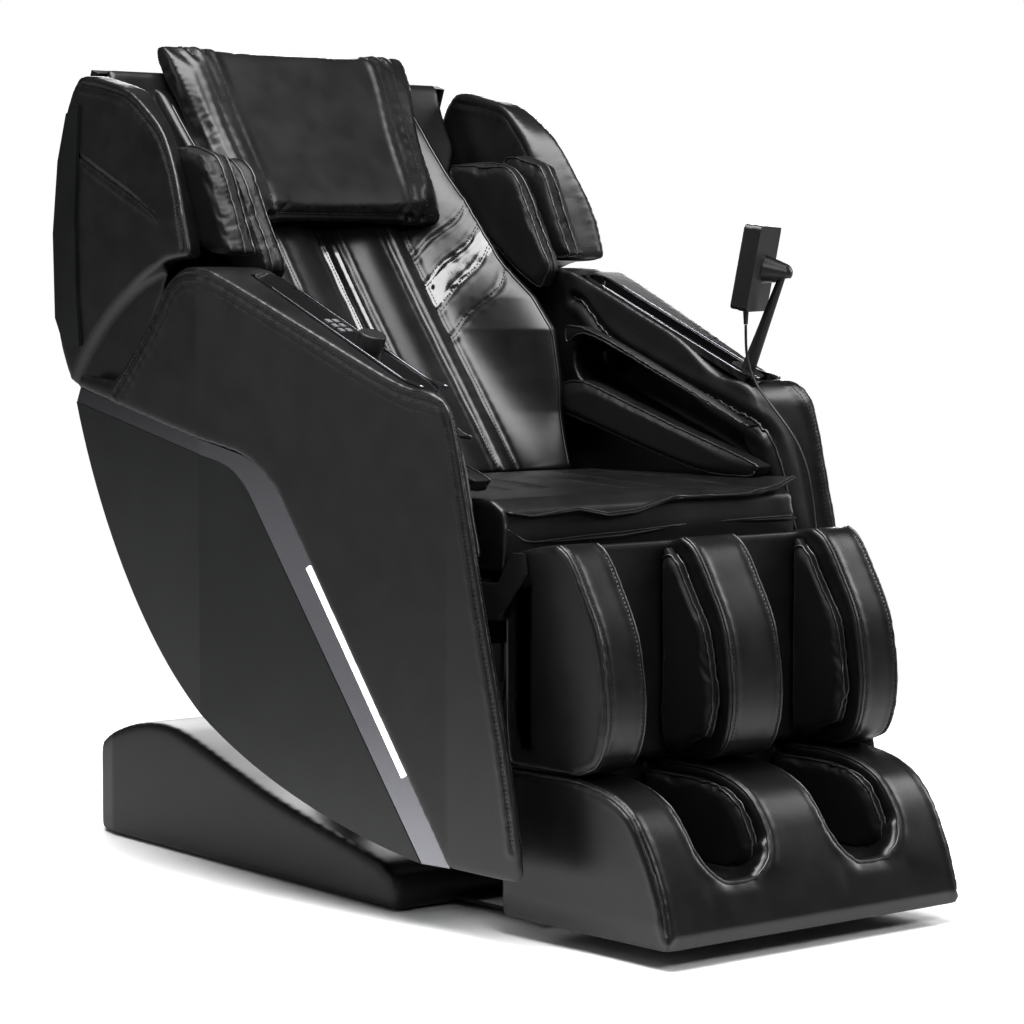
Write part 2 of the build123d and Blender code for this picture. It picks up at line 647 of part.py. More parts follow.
with BuildPart() as wing_panel_right:
    slab([(1240, 1180), (1275, 1168), (1301, 1095), (1317, 982), (1313, 850), (1284, 800), (1243, 806),
          (1252, 900), (1254, 1000)], -397, -392)
save(wing_panel_right, "wing_panel_right")
mirrored(wing_panel_right, "wing_panel_left")

with BuildPart() as shoulder_pad_right:
    slab([(1139, 1089), (1103, 1102), (1003, 1099), (970, 1085), (949, 1061), (903, 982), (879, 932),
          (888, 912), (911, 895), (1000, 940), (1090, 1012), (1145, 1060)], -290, -256)
    slab([(1060, 1106), (981, 1103), (952, 1085), (920, 1025), (896, 970), (891, 945), (960, 950),
          (1060, 1000)], -349, -303)
    slab([(1040, 1060), (980, 1040), (960, 990), (1040, 1010)], -303, -290)
save(shoulder_pad_right, "shoulder_pad_right")
mirrored(shoulder_pad_right, "shoulder_pad_left")

# ---- massage mechanism: rails, carriage and rocking rollers ----
with BuildPart() as massage_rails:
    slab_pair(strip(-150, 345, 128, 150), 104, 112)
save(massage_rails, "massage_rails")

ROCKER = track(0, 110)
with BuildPart() as roller_carriage:
    slab(strip(-14, 14, 138, 148), -101, 101)
    slab_pair(strip(-14, 14, 94, 139), 82, 92)
    slab_pair(strip(-40, 40, 132, 148), 92, 101)
    rod_pair(80, 94, ROCKER, 8.05, Mode.SUBTRACT)
save(roller_carriage, "roller_carriage")

with BuildPart() as massage_rollers:
    rod(-91, 91, ROCKER, 8)
    slab_pair(strip(-62, 62, 96, 118), 68, 75)
    for along in (-50, 50):
        rod_pair(38, 69, track(along, 104), 32)
    slab_pair(strip(-20, 20, 96, 118), 36, 69)
save(massage_rollers, "massage_rollers")

# ---- head pillow, hinged at the top of the back ----
with BuildPart() as head_pillow:
    slab([(1088, 1003), (1112, 1062), (1168, 1160), (1222, 1258), (1240, 1276), (1258, 1282), (1268, 1272),
          (1262, 1250), (1240, 1200), (1198, 1118), (1152, 1038), (1116, 1000)], -248, 248)
    with BuildSketch(Plane.XZ.offset(-700)):
        with BuildLine():
            Polyline((-200, 990), (-240, 1290), (240, 1290), (200, 990), close=True)
        make_face()
    extrude(amount=800, mode=Mode.INTERSECT)
save(head_pillow, "head_pillow")

# ---- calf unit: shell, three padded walls, airbags in the wells ----
CALF_BACK = 256.0
ROD_SPOTS = [(-140, 312 - LENGTH / 2), (140, 312 - LENGTH / 2)]
ROD_FOOT = 150.0         # lower end of the foot unit's slide rods
with BuildPart() as calf_shell:
    slab([(CALF_BACK, 241), (318, 241), (335, 290), (335, 500), (324, 531), (CALF_BACK, 546)],
         -LEG_HALF_WIDTH, LEG_HALF_WIDTH)
    rod_pair(262, 282, LEG_PIVOT, 8, Mode.SUBTRACT)
    with BuildSketch(Plane.XY.offset(240)):
        with Locations(*ROD_SPOTS):
            Circle(8.4)
    extrude(amount=190, mode=Mode.SUBTRACT)
    rod(-76, -44, LEG_PIN, 46, Mode.SUBTRACT)
    slab([(290, 496), (290, 452), (LEG_PIN[0] - 2, LEG_PIN[1] - 10), (LEG_PIN[0] + 9, LEG_PIN[1]),
          (LEG_PIN[0], LEG_PIN[1] + 10)], -64, -56)
    rod(-69, -51, LEG_PIN, 6)
save(calf_shell, "calf_shell")

CALF_WALL = [(255.5, 546), (220, 552), (189, 536), (150, 488), (113, 432), (95, 360), (93, 327), (102, 285),
             (123, 257), (170, 243), (255.5, 241)]
with BuildPart() as calf_walls:
    slab_pair(CALF_WALL, 205, LEG_HALF_WIDTH)
    slab(CALF_WALL, -50, 50)
save(calf_walls, "calf_walls")

CALF_BAG = [(254, 520), (214, 524), (165, 470), (130, 420), (112, 340), (124, 290), (150, 268), (254, 262)]
with BuildPart() as calf_airbags:
    slab_pair(CALF_BAG, 50.5, 68)
    slab_pair(CALF_BAG, 187, 204.5)
save(calf_airbags, "calf_airbags")

# ---- foot unit: shell with two foot wells, airbags, slide rods ----
FOOT_OUTLINE = [(347, 25), (347, 236), (255, 236), (157, 234), (76, 214), (36, 161), (9, 99), (0, 40),
                (0, 25)]
WELL = [(292, 250), (292, 84), (66, 84), (14, 128), (-10, 128), (-10, 250)]
with BuildPart() as foot_shell:
    slab(FOOT_OUTLINE, -LEG_HALF_WIDTH, LEG_HALF_WIDTH)
    slab_pair(WELL, 55, 197, Mode.SUBTRACT)
    with BuildSketch(Plane.XY.offset(ROD_FOOT)):
        with Locations(*ROD_SPOTS):
            Circle(8)
    extrude(amount=100, mode=Mode.SUBTRACT)
save(foot_shell, "foot_shell")

FOOT_BAG = [(288, 226), (170, 226), (100, 205), (60, 150), (64, 112), (110, 92), (288, 92)]
with BuildPart() as foot_airbags:
    slab_pair(FOOT_BAG, 55.5, 73)
    slab_pair(FOOT_BAG, 179, 196.5)
save(foot_airbags, "foot_airbags")

with BuildPart() as foot_slide_rods:
    with BuildSketch(Plane.XY.offset(ROD_FOOT)):
        with Locations(*ROD_SPOTS):
            Circle(8)
    extrude(amount=270)
save(foot_slide_rods, "foot_slide_rods")
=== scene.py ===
import bpy
import bmesh
from math import cos, pi, radians, sin, tan
import numpy as np
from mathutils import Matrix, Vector
from mathutils.bvhtree import BVHTree


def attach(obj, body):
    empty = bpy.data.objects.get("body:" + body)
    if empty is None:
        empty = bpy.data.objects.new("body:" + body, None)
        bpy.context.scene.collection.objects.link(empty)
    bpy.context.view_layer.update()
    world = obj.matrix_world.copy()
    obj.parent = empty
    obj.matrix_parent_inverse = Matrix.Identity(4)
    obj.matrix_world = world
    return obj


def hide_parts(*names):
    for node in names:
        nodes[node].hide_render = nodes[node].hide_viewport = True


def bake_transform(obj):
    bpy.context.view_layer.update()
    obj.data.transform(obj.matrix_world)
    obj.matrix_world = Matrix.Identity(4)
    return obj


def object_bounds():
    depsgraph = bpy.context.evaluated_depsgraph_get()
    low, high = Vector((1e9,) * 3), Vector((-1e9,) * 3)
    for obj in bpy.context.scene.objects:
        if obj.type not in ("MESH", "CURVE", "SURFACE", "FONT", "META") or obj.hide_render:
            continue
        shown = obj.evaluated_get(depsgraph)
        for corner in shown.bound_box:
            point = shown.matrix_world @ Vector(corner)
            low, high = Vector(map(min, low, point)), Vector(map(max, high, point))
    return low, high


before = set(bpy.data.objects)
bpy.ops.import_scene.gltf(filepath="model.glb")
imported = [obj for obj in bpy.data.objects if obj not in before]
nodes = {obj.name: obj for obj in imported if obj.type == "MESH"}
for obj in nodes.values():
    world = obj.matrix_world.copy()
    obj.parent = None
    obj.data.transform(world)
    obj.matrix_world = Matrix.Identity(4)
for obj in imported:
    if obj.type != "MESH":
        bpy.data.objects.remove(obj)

# A full-body massage chair. Metres, +Z up, the person faces -Y and the chair's left is +X.
# Outlines are written as in the design: stations in millimetres behind the foot unit's front
# face, and heights in millimetres above the floor.

cad_low, cad_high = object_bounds()
MM = 0.001
FRONT = cad_low[1]
scene = bpy.context.scene


def at(x, station, height):
    """A point given in the design's millimetres, in metres."""
    return np.array((x * MM, FRONT + station * MM, height * MM))


def side(x, outline):
    """An outline of (station, height) pairs on the upright plane at x."""
    return np.array([at(x, station, height) for station, height in outline])


# ---- camera ----
VIEW_TURN = radians(39.5)
VIEW_DROP = radians(4.02)
camera = bpy.data.objects.new("camera", bpy.data.cameras.new("camera"))
scene.collection.objects.link(camera)
camera.location = (-3.1553, -3.9161, 0.909)
gaze = Vector((sin(VIEW_TURN) * cos(VIEW_DROP), cos(VIEW_TURN) * cos(VIEW_DROP), -sin(VIEW_DROP)))
camera.rotation_euler = gaze.to_track_quat("-Z", "Y").to_euler()
camera.data.sensor_width = 36
camera.data.lens = 116
camera.data.clip_end = 50
scene.camera = camera
scene.view_settings.view_transform = "Standard"
scene.view_settings.gamma = 0.8


# ---- materials ----
def srgb(code):
    """A hex colour such as '1c1c1e' as linear RGBA."""
    channels = [int(code[i:i + 2], 16) / 255 for i in (0, 2, 4)]
    linear = [c / 12.92 if c <= 0.04045 else ((c + 0.055) / 1.055) ** 2.4 for c in channels]
    return (*linear, 1.0)


def add(tree, kind, inputs=None, **settings):
    """A shader node of that kind; an input given as a socket is linked, and any other is set."""
    node = tree.nodes.new(kind)
    for name, value in settings.items():
        setattr(node, name, value)
    for name, value in (inputs or {}).items():
        if isinstance(value, bpy.types.NodeSocket):
            tree.links.new(value, node.inputs[name])
        else:
            node.inputs[name].default_value = value
    return node


def new_material(name):
    """An empty node material, and its object coordinates in metres; its output comes with finish_material.
    """
    made = bpy.data.materials.new(name)
    made.use_nodes = True
    tree = made.node_tree
    tree.nodes.clear()
    place = add(tree, "ShaderNodeTexCoord").outputs["Object"]
    return made, tree, place


def finish_material(tree, shader):
    output = add(tree, "ShaderNodeOutputMaterial")
    tree.links.new(shader.outputs[0], output.inputs["Surface"])


def per_mm(size):
    """Texture scale that gives features of that many millimetres."""
    return 1000 / size


def two_tone(tree, value, dark, light, low=0.35, high=0.65):
    """A colour between two hex tones, led by a value."""
    ramp = add(tree, "ShaderNodeValToRGB", {"Fac": value})
    for element, stop, code in zip(ramp.color_ramp.elements, (low, high), (dark, light)):
        element.position = stop
        element.color = srgb(code)
    return ramp.outputs["Color"]


def spread(tree, value, low, high):
    """A value from 0..1 spread between two roughnesses."""
    return add(tree, "ShaderNodeMapRange", {"Value": value, "To Min": low, "To Max": high}).outputs[0]


def leather(name, dark, light, rough, grain_mm, relief, gloss=0.5, sheen=0.0):
    """Embossed synthetic leather: fine pebbled cells over slow, soft mottling. The eye sees a
    satin black whose highlight is broken up by the grain and by faint wrinkles."""
    made, tree, place = new_material(name)
    mottle = add(tree, "ShaderNodeTexNoise", {"Vector": place, "Scale": per_mm(45), "Detail": 5.0})
    pebble = add(tree, "ShaderNodeTexVoronoi", {"Vector": place, "Scale": per_mm(grain_mm)},
                 feature="DISTANCE_TO_EDGE")
    fold = add(tree, "ShaderNodeTexNoise", {"Vector": place, "Scale": per_mm(14), "Detail": 3.0})
    low = add(tree, "ShaderNodeBump", {"Height": fold.outputs[0], "Strength": 0.12, "Distance": 0.0012})
    top = add(tree, "ShaderNodeBump", {"Height": pebble.outputs[0], "Strength": relief,
                                       "Distance": 0.0004, "Normal": low.outputs[0]})
    shader = add(tree, "ShaderNodeBsdfPrincipled", {
        "Base Color": two_tone(tree, mottle.outputs[0], dark, light),
        "Roughness": spread(tree, mottle.outputs[0], rough - 0.05, rough + 0.06),
        "IOR": 1.5, "Specular IOR Level": gloss, "Sheen Weight": sheen, "Sheen Roughness": 0.5,
        "Normal": top.outputs[0]})
    finish_material(tree, shader)
    return made


def moulded(name, dark, light, rough, grain_mm=0.8, relief=0.05, coat=0.0, glow=0.0):
    """Injection-moulded ABS: an even colour with a spark-eroded mould texture, which gives a
    soft satin highlight, or with a clear coat the mirror shine of piano black."""
    made, tree, place = new_material(name)
    mottle = add(tree, "ShaderNodeTexNoise", {"Vector": place, "Scale": per_mm(60), "Detail": 3.0})
    grit = add(tree, "ShaderNodeTexNoise", {"Vector": place, "Scale": per_mm(grain_mm), "Detail": 2.0})
    bump = add(tree, "ShaderNodeBump", {"Height": grit.outputs[0], "Strength": relief, "Distance": 0.0002})
    shader = add(tree, "ShaderNodeBsdfPrincipled", {
        "Base Color": two_tone(tree, mottle.outputs[0], dark, light),
        "Roughness": spread(tree, mottle.outputs[0], rough - 0.03, rough + 0.03),
        "IOR": 1.46, "Coat Weight": coat, "Coat Roughness": 0.03,
        "Emission Color": srgb("ffffff"), "Emission Strength": glow, "Normal": bump.outputs[0]})
    finish_material(tree, shader)
    return made


def metal(name, dark, light, rough, brush_mm=0.6, along=(1, 30, 30)):
    """Metal or metallised trim with brushing lines: bright streaks stretched along the grain."""
    made, tree, place = new_material(name)
    stretched = add(tree, "ShaderNodeMapping", {"Vector": place, "Scale": along})
    lines = add(tree, "ShaderNodeTexNoise", {"Vector": stretched.outputs[0], "Scale": per_mm(brush_mm) / 30,
                                             "Detail": 4.0})
    bump = add(tree, "ShaderNodeBump", {"Height": lines.outputs[0], "Strength": 0.06, "Distance": 0.0002})
    shader = add(tree, "ShaderNodeBsdfPrincipled", {
        "Base Color": two_tone(tree, lines.outputs[0], dark, light), "Metallic": 1.0,
        "Roughness": spread(tree, lines.outputs[0], rough - 0.06, rough + 0.06),
        "Normal": bump.outputs[0]})
    finish_material(tree, shader)
    return made


# Embossed polyurethane leather on every padded outside.
LEATHER = leather("black_synthetic_leather", "0d0d0e", "141415", 0.36, 1.3, 0.14, 0.46)
# The same leather with a gloss lacquer, on the chevrons and the middle strip.
PATENT = leather("patent_gloss_leather", "0d0d0f", "161618", 0.17, 4.0, 0.05, 0.7)
# Matte stretch cover over the airbags, darker than the leather round it.
AIRBAG = leather("matte_stretch_cover", "050506", "0a0a0b", 0.5, 0.9, 0.12, 0.3, 0.03)
# Corded leather edging, a little lighter where it catches the light.
PIPING = leather("piping_leather", "1a1a1b", "242426", 0.34, 1.1, 0.1, 0.6)
# Waxed polyester sewing thread.
THREAD = leather("waxed_polyester_thread", "0c0c0d", "1a1a1b", 0.42, 0.5, 0.2)
# Painted side panels: graphite ABS with a satin lacquer.
ABS_GRAPHITE = moulded("graphite_abs", "121314", "171819", 0.3)
# Fine-textured black ABS of the base cover, knob and stand.
ABS_BLACK = moulded("black_abs", "0f0f10", "151516", 0.48, 1.0, 0.12)
# Smoother black ABS of the tablet and its holder.
ABS_SATIN = moulded("satin_black_abs", "141415", "1a1a1b", 0.36, 0.8, 0.1)
# Clear-coated black ABS of the consoles.
PIANO_BLACK = moulded("piano_black_abs", "040405", "070708", 0.12, 0.8, 0.0, 1.0)
# Grey ABS keys.
KEY_ABS = moulded("grey_key_abs", "5a5a5c", "68686a", 0.4, 0.8, 0.04)
# Opal acrylic over the light strips, lit from inside.
DIFFUSER = moulded("white_light_diffuser", "f2f4f8", "fcfdff", 0.4, 0.8, 0.0, 0.2, 1.1)
# Metallised trim, brushed dark.
DARK_CHROME = metal("dark_brushed_metal_trim", "747478", "7c7c80", 0.2, 0.05, (1, 1, 1))
# Ground and plated rods and rails.
GROUND_STEEL = metal("ground_steel", "8c8c8e", "a6a6a8", 0.22, 0.5, (30, 1, 30))
# Powder-coated steel frames.
POWDER_COAT = moulded("powder_coated_steel", "131314", "1b1b1c", 0.5, 1.2, 0.3)
# Cover glass of the tablet.
SCREEN_GLASS = moulded("screen_glass", "020203", "040406", 0.06, 2.0, 0.0, 1.0)
# Moulded rubber feet.
RUBBER = moulded("moulded_rubber", "0c0c0c", "141414", 0.66, 0.7, 0.3)
# Soft PVC sheath of the tablet's lead and its relief.
CABLE_PVC = moulded("satin_cable_pvc", "1b1b1c", "232324", 0.42, 0.6, 0.1)


def dress(obj, material, smooth=True):
    """Gives the whole of an object one material."""
    obj.data.materials.clear()
    obj.data.materials.append(material)
    if smooth and obj.type == "MESH":
        obj.data.shade_smooth()
    return obj


# ---- mesh helpers ----
def mesh_object(name, verts, faces, material=None):
    mesh = bpy.data.meshes.new(name)
    mesh.from_pydata([tuple(v) for v in verts], [], faces)
    mesh.validate()
    obj = bpy.data.objects.new(name, mesh)
    scene.collection.objects.link(obj)
    if material:
        dress(obj, material)
    return obj


def applied(obj):
    """Makes the object's modifiers real."""
    graph = bpy.context.evaluated_depsgraph_get()
    mesh = bpy.data.meshes.new_from_object(obj.evaluated_get(graph), depsgraph=graph)
    obj.modifiers.clear()
    old = obj.data
    obj.data = mesh
    bpy.data.meshes.remove(old)
    return obj


def vectors(obj, what="co"):
    flat = np.empty(len(obj.data.vertices) * 3, np.float32)
    (obj.data.vertices if what == "co" else obj.data.vertex_normals).foreach_get(
        "co" if what == "co" else "vector", flat)
    return flat.reshape(-1, 3).astype(float)


def set_points(obj, points):
    obj.data.vertices.foreach_set("co", points.astype(np.float32).ravel())
    obj.data.update()


def smooth_line(points, step=0.004, closed=False):
    """An even line through the points, rounded between them."""
    p = np.array(points, float)
    before, after = (p[-1:], p[:2]) if closed else (2 * p[:1] - p[1:2], 2 * p[-1:] - p[-2:-1])
    q = np.vstack([before, p, after])
    t = np.linspace(0, 1, 12, endpoint=False)[:, None]
    runs = [0.5 * (2 * b + (c - a) * t + (2 * a - 5 * b + 4 * c - d) * t ** 2
                   + (3 * b - a - 3 * c + d) * t ** 3)
            for a, b, c, d in zip(q, q[1:], q[2:], q[3:]) if np.abs(c - b).max() > 1e-9]
    line = np.vstack(runs + [p[:1] if closed else p[-1:]])
    along = np.concatenate([[0], np.cumsum(np.linalg.norm(np.diff(line, axis=0), axis=1))])
    marks = np.linspace(0, along[-1], max(3, int(along[-1] / step)))
    return np.stack([np.interp(marks, along, line[:, i]) for i in range(3)], axis=1)


def distance_to(points, line):
    """How far each point is from a line's marks, with the nearest mark; far ones are given as 1 m."""
    away, mark = np.ones(len(points)), np.zeros(len(points))
    low, high = line.min(0) - 0.03, line.max(0) + 0.03
    near = np.where(((points > low) & (points < high)).all(1))[0]
    for chunk in np.array_split(near, max(1, len(near) // 4000)):
        gaps = points[chunk][:, None, :] - line[None, :, :]
        squared = (gaps ** 2).sum(2)
        mark[chunk] = squared.argmin(1)
        away[chunk] = np.sqrt(squared.min(1))
    return away, mark


def rounded(obj, voxel, rounds, hollow=None):
    """Remeshes a piece evenly, with a hollow cut if one is given, and softens its corners."""
    join = obj.modifiers.new("join", "REMESH")
    join.mode, join.voxel_size = "VOXEL", voxel
    if hollow:
        subtract(obj, hollow)
        again = obj.modifiers.new("again", "REMESH")
        again.mode, again.voxel_size = "VOXEL", voxel
    soften = obj.modifiers.new("soften", "SMOOTH")
    soften.factor, soften.iterations = 0.5, rounds
    return applied(obj)


def subtract(obj, tool):
    cut = obj.modifiers.new("cut", "BOOLEAN")
    cut.operation, cut.object, cut.solver = "DIFFERENCE", tool, "EXACT"


def cut_out(obj, tool):
    """Cuts the tool's shape out of a piece and throws the tool away."""
    subtract(obj, tool)
    applied(obj)
    bpy.data.objects.remove(tool)


def soft_copy(name, node, voxel, rounds):
    """A padded piece's starting mesh: its design solid with its corners rounded."""
    obj = bpy.data.objects.new(name, nodes[node].data.copy())
    scene.collection.objects.link(obj)
    return rounded(obj, voxel, rounds)


def prism(work, outline, x_from, x_to):
    """Adds an outline's closed slab between two x planes to a bmesh."""
    rim = smooth_line([at(0, s, h) for s, h in outline], 0.006, closed=True)[:-1]
    rings = [[work.verts.new((x * MM, y, z)) for _, y, z in rim] for x in (x_from, x_to)]
    work.faces.new(rings[0])
    work.faces.new(rings[1][::-1])
    for i in range(len(rim)):
        k = (i + 1) % len(rim)
        work.faces.new((rings[0][k], rings[0][i], rings[1][i], rings[1][k]))


def slab_object(name, slabs):
    """Closed slabs, each an outline between two x planes, as one object."""
    work = bmesh.new()
    for outline, x_from, x_to in slabs:
        prism(work, outline, x_from, x_to)
    bmesh.ops.recalc_face_normals(work, faces=work.faces)
    made = mesh_object(name, [], [])
    work.to_mesh(made.data)
    work.free()
    return made


def form(name, solids, holes=(), voxel=0.0045, rounds=14, shape=None):
    """A padded form: slabs joined, hollows cut, then remeshed with soft corners."""
    obj = slab_object(name, solids)
    hollow = slab_object(name + "_hollow", holes) if holes else None
    rounded(obj, voxel, rounds, hollow)
    if hollow:
        bpy.data.objects.remove(hollow)
    if shape:
        set_points(obj, np.array([shape(*point) for point in vectors(obj)]))
    return obj


def hands(outline, x_from, x_to):
    """The same slab on both sides of the chair."""
    return [(outline, x_from, x_to), (outline, -x_to, -x_from)]


def carve(obj, lines, width=0.003, depth=0.003, pucker=0.0002):
    """Sinks sewn channels into a padded piece; the padding rises and puckers on both sides."""
    points = vectors(obj)
    normals = vectors(obj, "normal")
    push = np.zeros(len(points))
    for line in lines:
        away, mark = distance_to(points, line)
        wave = np.sin(mark * 1.15) + 0.7 * np.sin(mark * 0.47 + 1.0)
        push += pucker * wave * np.exp(-((away - 0.009) / 0.008) ** 2)
        push -= depth * np.exp(-(away / width) ** 2)
        push += 0.4 * depth * np.exp(-((away - 2.6 * width) / (1.3 * width)) ** 2)
    set_points(obj, points + normals * push[:, None])


def on_surface(obj, line, lift=0.0):
    """The line laid on the piece, with the surface's normals there."""
    tree = BVHTree.FromPolygons([v.co for v in obj.data.vertices], [p.vertices for p in obj.data.polygons])
    places, ups = [], []
    for point in line:
        spot, normal, _, _ = tree.find_nearest(Vector(point))
        places.append(np.array(spot) + np.array(normal) * lift)
        ups.append(np.array(normal))
    return np.array(places), np.array(ups)


def tube(name, line, radius, material, sides=8):
    """A round bar along a line."""
    line = np.asarray(line)
    heading = np.gradient(line, axis=0)
    heading /= np.linalg.norm(heading, axis=1)[:, None] + 1e-12
    across = np.cross(heading[0], (0.3, 0.5, 0.8))
    verts, faces = [], []
    for point, ahead in zip(line, heading):
        across = across - ahead * across.dot(ahead)
        if np.linalg.norm(across) < 0.01:
            across = np.cross(ahead, (0.8, 0.3, 0.5))
        across /= max(1e-9, np.linalg.norm(across))
        other = np.cross(ahead, across)
        for k in range(sides):
            turn = 2 * pi * k / sides
            verts.append(point + radius * (across * cos(turn) + other * sin(turn)))
    for i in range(len(line) - 1):
        for k in range(sides):
            a, b = i * sides + k, i * sides + (k + 1) % sides
            faces.append((a, b, b + sides, a + sides))
    last = (len(line) - 1) * sides
    faces.append(tuple(range(sides - 1, -1, -1)))
    faces.append(tuple(range(last, last + sides)))
    return mesh_object(name, verts, faces, material)


STITCH_PITCH, STITCH_LENGTH, STITCH_RADIUS = 0.0062, 0.0042, 0.0007
STITCH_SIDES = 5
STITCH_PROFILE = ((-0.5, 0.35), (-0.3, 1.0), (0.3, 1.0), (0.5, 0.35))


def stitches(name, piece, lines):
    """Rows of separate stitches lying on a piece."""
    verts, faces = [], []
    for line in lines:
        even = smooth_line(line, STITCH_PITCH)
        spots, ups = on_surface(piece, even, 0.0003)
        for i in range(1, len(spots) - 1):
            ahead = spots[i + 1] - spots[i - 1]
            size = np.linalg.norm(ahead)
            if size < STITCH_PITCH * 0.5:
                continue
            ahead = ahead / size
            across = np.cross(ups[i], ahead)
            start = len(verts)
            for end, share in STITCH_PROFILE:
                for k in range(STITCH_SIDES):
                    turn = 2 * pi * k / STITCH_SIDES
                    out = across * cos(turn) + ups[i] * sin(turn)
                    verts.append(spots[i] + ahead * STITCH_LENGTH * end + out * STITCH_RADIUS * share)
            for ring in range(len(STITCH_PROFILE) - 1):
                for k in range(STITCH_SIDES):
                    a = start + ring * STITCH_SIDES + k
                    b = start + ring * STITCH_SIDES + (k + 1) % STITCH_SIDES
                    faces.append((a, b, b + STITCH_SIDES, a + STITCH_SIDES))
            last = start + (len(STITCH_PROFILE) - 1) * STITCH_SIDES
            faces.append(tuple(start + k for k in range(STITCH_SIDES - 1, -1, -1)))
            faces.append(tuple(last + k for k in range(STITCH_SIDES)))
    made = mesh_object(name, verts, faces, THREAD)
    made.parent = piece
    return made


def piping(name, piece, lines, radius=0.0022, lift=0.0006):
    """Corded edge trim sewn along a piece."""
    for count, line in enumerate(lines, 1):
        spots, _ = on_surface(piece, smooth_line(line, 0.005), lift)
        made = tube(f"{name}_{count}", spots, radius, PIPING)
        made.parent = piece


INFLATE_FRAMES = 20
INFLATE_PRESSURE = 4.0


def inflate(obj, cap):
    """Lets the cover swell like an air bag by a short cloth run, no point moving past the cap."""
    start = vectors(obj)
    cloth = obj.modifiers.new("cloth", "CLOTH")
    cloth.settings.effector_weights.gravity = 0
    cloth.settings.use_pressure = True
    cloth.settings.uniform_pressure_force = INFLATE_PRESSURE
    cloth.settings.quality = 4
    for step in range(1, INFLATE_FRAMES + 1):
        scene.frame_set(step)
    applied(obj)
    scene.frame_set(1)
    moved = vectors(obj) - start
    size = np.linalg.norm(moved, axis=1)[:, None] + 1e-9
    set_points(obj, start + moved / size * np.minimum(size, cap))


def shifted(line, by):
    """A line in metres moved by millimetres."""
    return np.asarray(line) + np.array(by) * MM


HALF_FRONT, HALF_REAR = 350.0, 410.0
SPREAD_FROM, SPREAD_TO = 380.0, 900.0


def skin(station):
    """Half the chair's width at a station: the sides draw in towards the front."""
    share = min(1, max(0, (station - SPREAD_FROM) / (SPREAD_TO - SPREAD_FROM)))
    return HALF_FRONT + (HALF_REAR - HALF_FRONT) * share


def flank(hand, outline, lift=0.0):
    """An outline laid on the outer face of the sides."""
    return np.array([at(hand * (skin(s) + lift), s, h) for s, h in outline])


def step_up(value):
    """From 0 to 1 with soft ends."""
    value = min(1, max(0, value))
    return value * value * (3 - 2 * value)


def inset(outline, by):
    """An open outline moved sideways, to the right of its way."""
    p = np.array(outline, float)
    way = np.gradient(p, axis=0)
    way /= np.linalg.norm(way, axis=1)[:, None]
    return [tuple(q) for q in p + np.stack([way[:, 1], -way[:, 0]], axis=1) * by]


# ---- tablet lead: a soft PVC cord from the tablet down the front of the left arm ----
LEAD = [(279, 447, 842), (279.5, 447.5, 812), (282.5, 446, 786), (286, 438, 762), (286, 420, 741),
        (286, 391, 716), (286, 362, 690), (288, 341, 664), (293, 328, 630), (298, 323, 592),
        (299, 317, 552), (297, 309, 514), (296.5, 304, 488)]
LEAD_DIAMETER = 0.004
route = bpy.data.curves.new("lead_route", "CURVE")
route.dimensions = "3D"
spline = route.splines.new("NURBS")
spline.points.add(len(LEAD) - 1)
for knot, point in zip(spline.points, LEAD):
    knot.co = (*at(*point), 1.0)
spline.order_u = 3
spline.use_endpoint_u = True
spline.resolution_u = 12
guide = bpy.data.objects.new("lead_route", route)
scene.collection.objects.link(guide)
traced = bpy.data.meshes.new_from_object(guide)
lead_line = [tuple(v.co) for v in traced.vertices]
bpy.data.objects.remove(guide)
lead = tube("tablet_lead", lead_line, LEAD_DIAMETER / 2, CABLE_PVC, sides=12)
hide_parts("remote_cable")
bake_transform(lead)

# ---- what every outline below shares with the design ----
ARM_TOP = [(1226, 762), (1128, 744), (1029, 843), (972, 911), (929, 928), (895, 928), (835, 911),
           (660, 840), (483, 769), (398, 750), (364, 710), (305, 476), (252, 276), (224, 144)]
CALF_WALL = [(255, 546), (220, 552), (189, 536), (150, 488), (113, 432), (95, 360), (93, 327),
             (102, 285), (123, 257), (170, 243), (255, 241)]
PAD_LINE = [(828, 611), (890, 688), (966, 781), (1043, 877), (1117, 974), (1170, 1050), (1215, 1130),
            (1255, 1212)]


def settle(obj, body, slot, *replaced, fill=None, material=None):
    """A finished piece takes its material, joins its body and hides the nodes it stands for; its finish
    slot is not used.
    """
    if material:
        dress(obj, material)
    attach(obj, body)
    if replaced:
        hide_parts(*replaced)
    return obj


# ---- arms: padded leather over the sides, with a rolled top and stitched edges ----
ARM_FORM = [(1226, 742), (1226, 742), (1226, 764), (1226, 764), (1170, 758), (1118, 762), (1029, 843),
            (978, 902), (935, 926), (888, 927), (835, 911), (660, 840), (483, 769), (420, 756),
            (388, 742), (366, 706), (335, 590), (305, 476), (252, 276), (224, 144), (217, 110),
            (232, 98), (263, 96), (263, 96), (378, 96), (378, 96), (430, 172), (600, 419), (700, 565),
            (736, 612), (800, 652), (900, 673), (1060, 706)]
ARM_UPPER = [(1000, 696), (1000, 696), (1000, 870), (978, 902), (935, 926), (888, 927), (835, 911),
             (660, 840), (483, 769), (420, 756), (388, 742), (366, 706), (335, 590), (305, 476),
             (252, 276), (224, 144), (217, 110), (232, 98), (280, 98), (280, 98), (330, 150),
             (420, 300), (520, 440), (690, 600), (800, 654), (900, 675)]
ARM_CORE = [(1000, 600), (1000, 870), (978, 902), (935, 926), (888, 927), (835, 911), (660, 840),
            (483, 769), (420, 756), (388, 742), (366, 706), (335, 590), (318, 520), (340, 500),
            (420, 506), (700, 570)]
CHANNEL = [(410, 622), (800, 738), (852, 762), (856, 800), (800, 812), (620, 752), (432, 688), (400, 660)]
ARM_INNER, ARM_OUTER = 292, 410
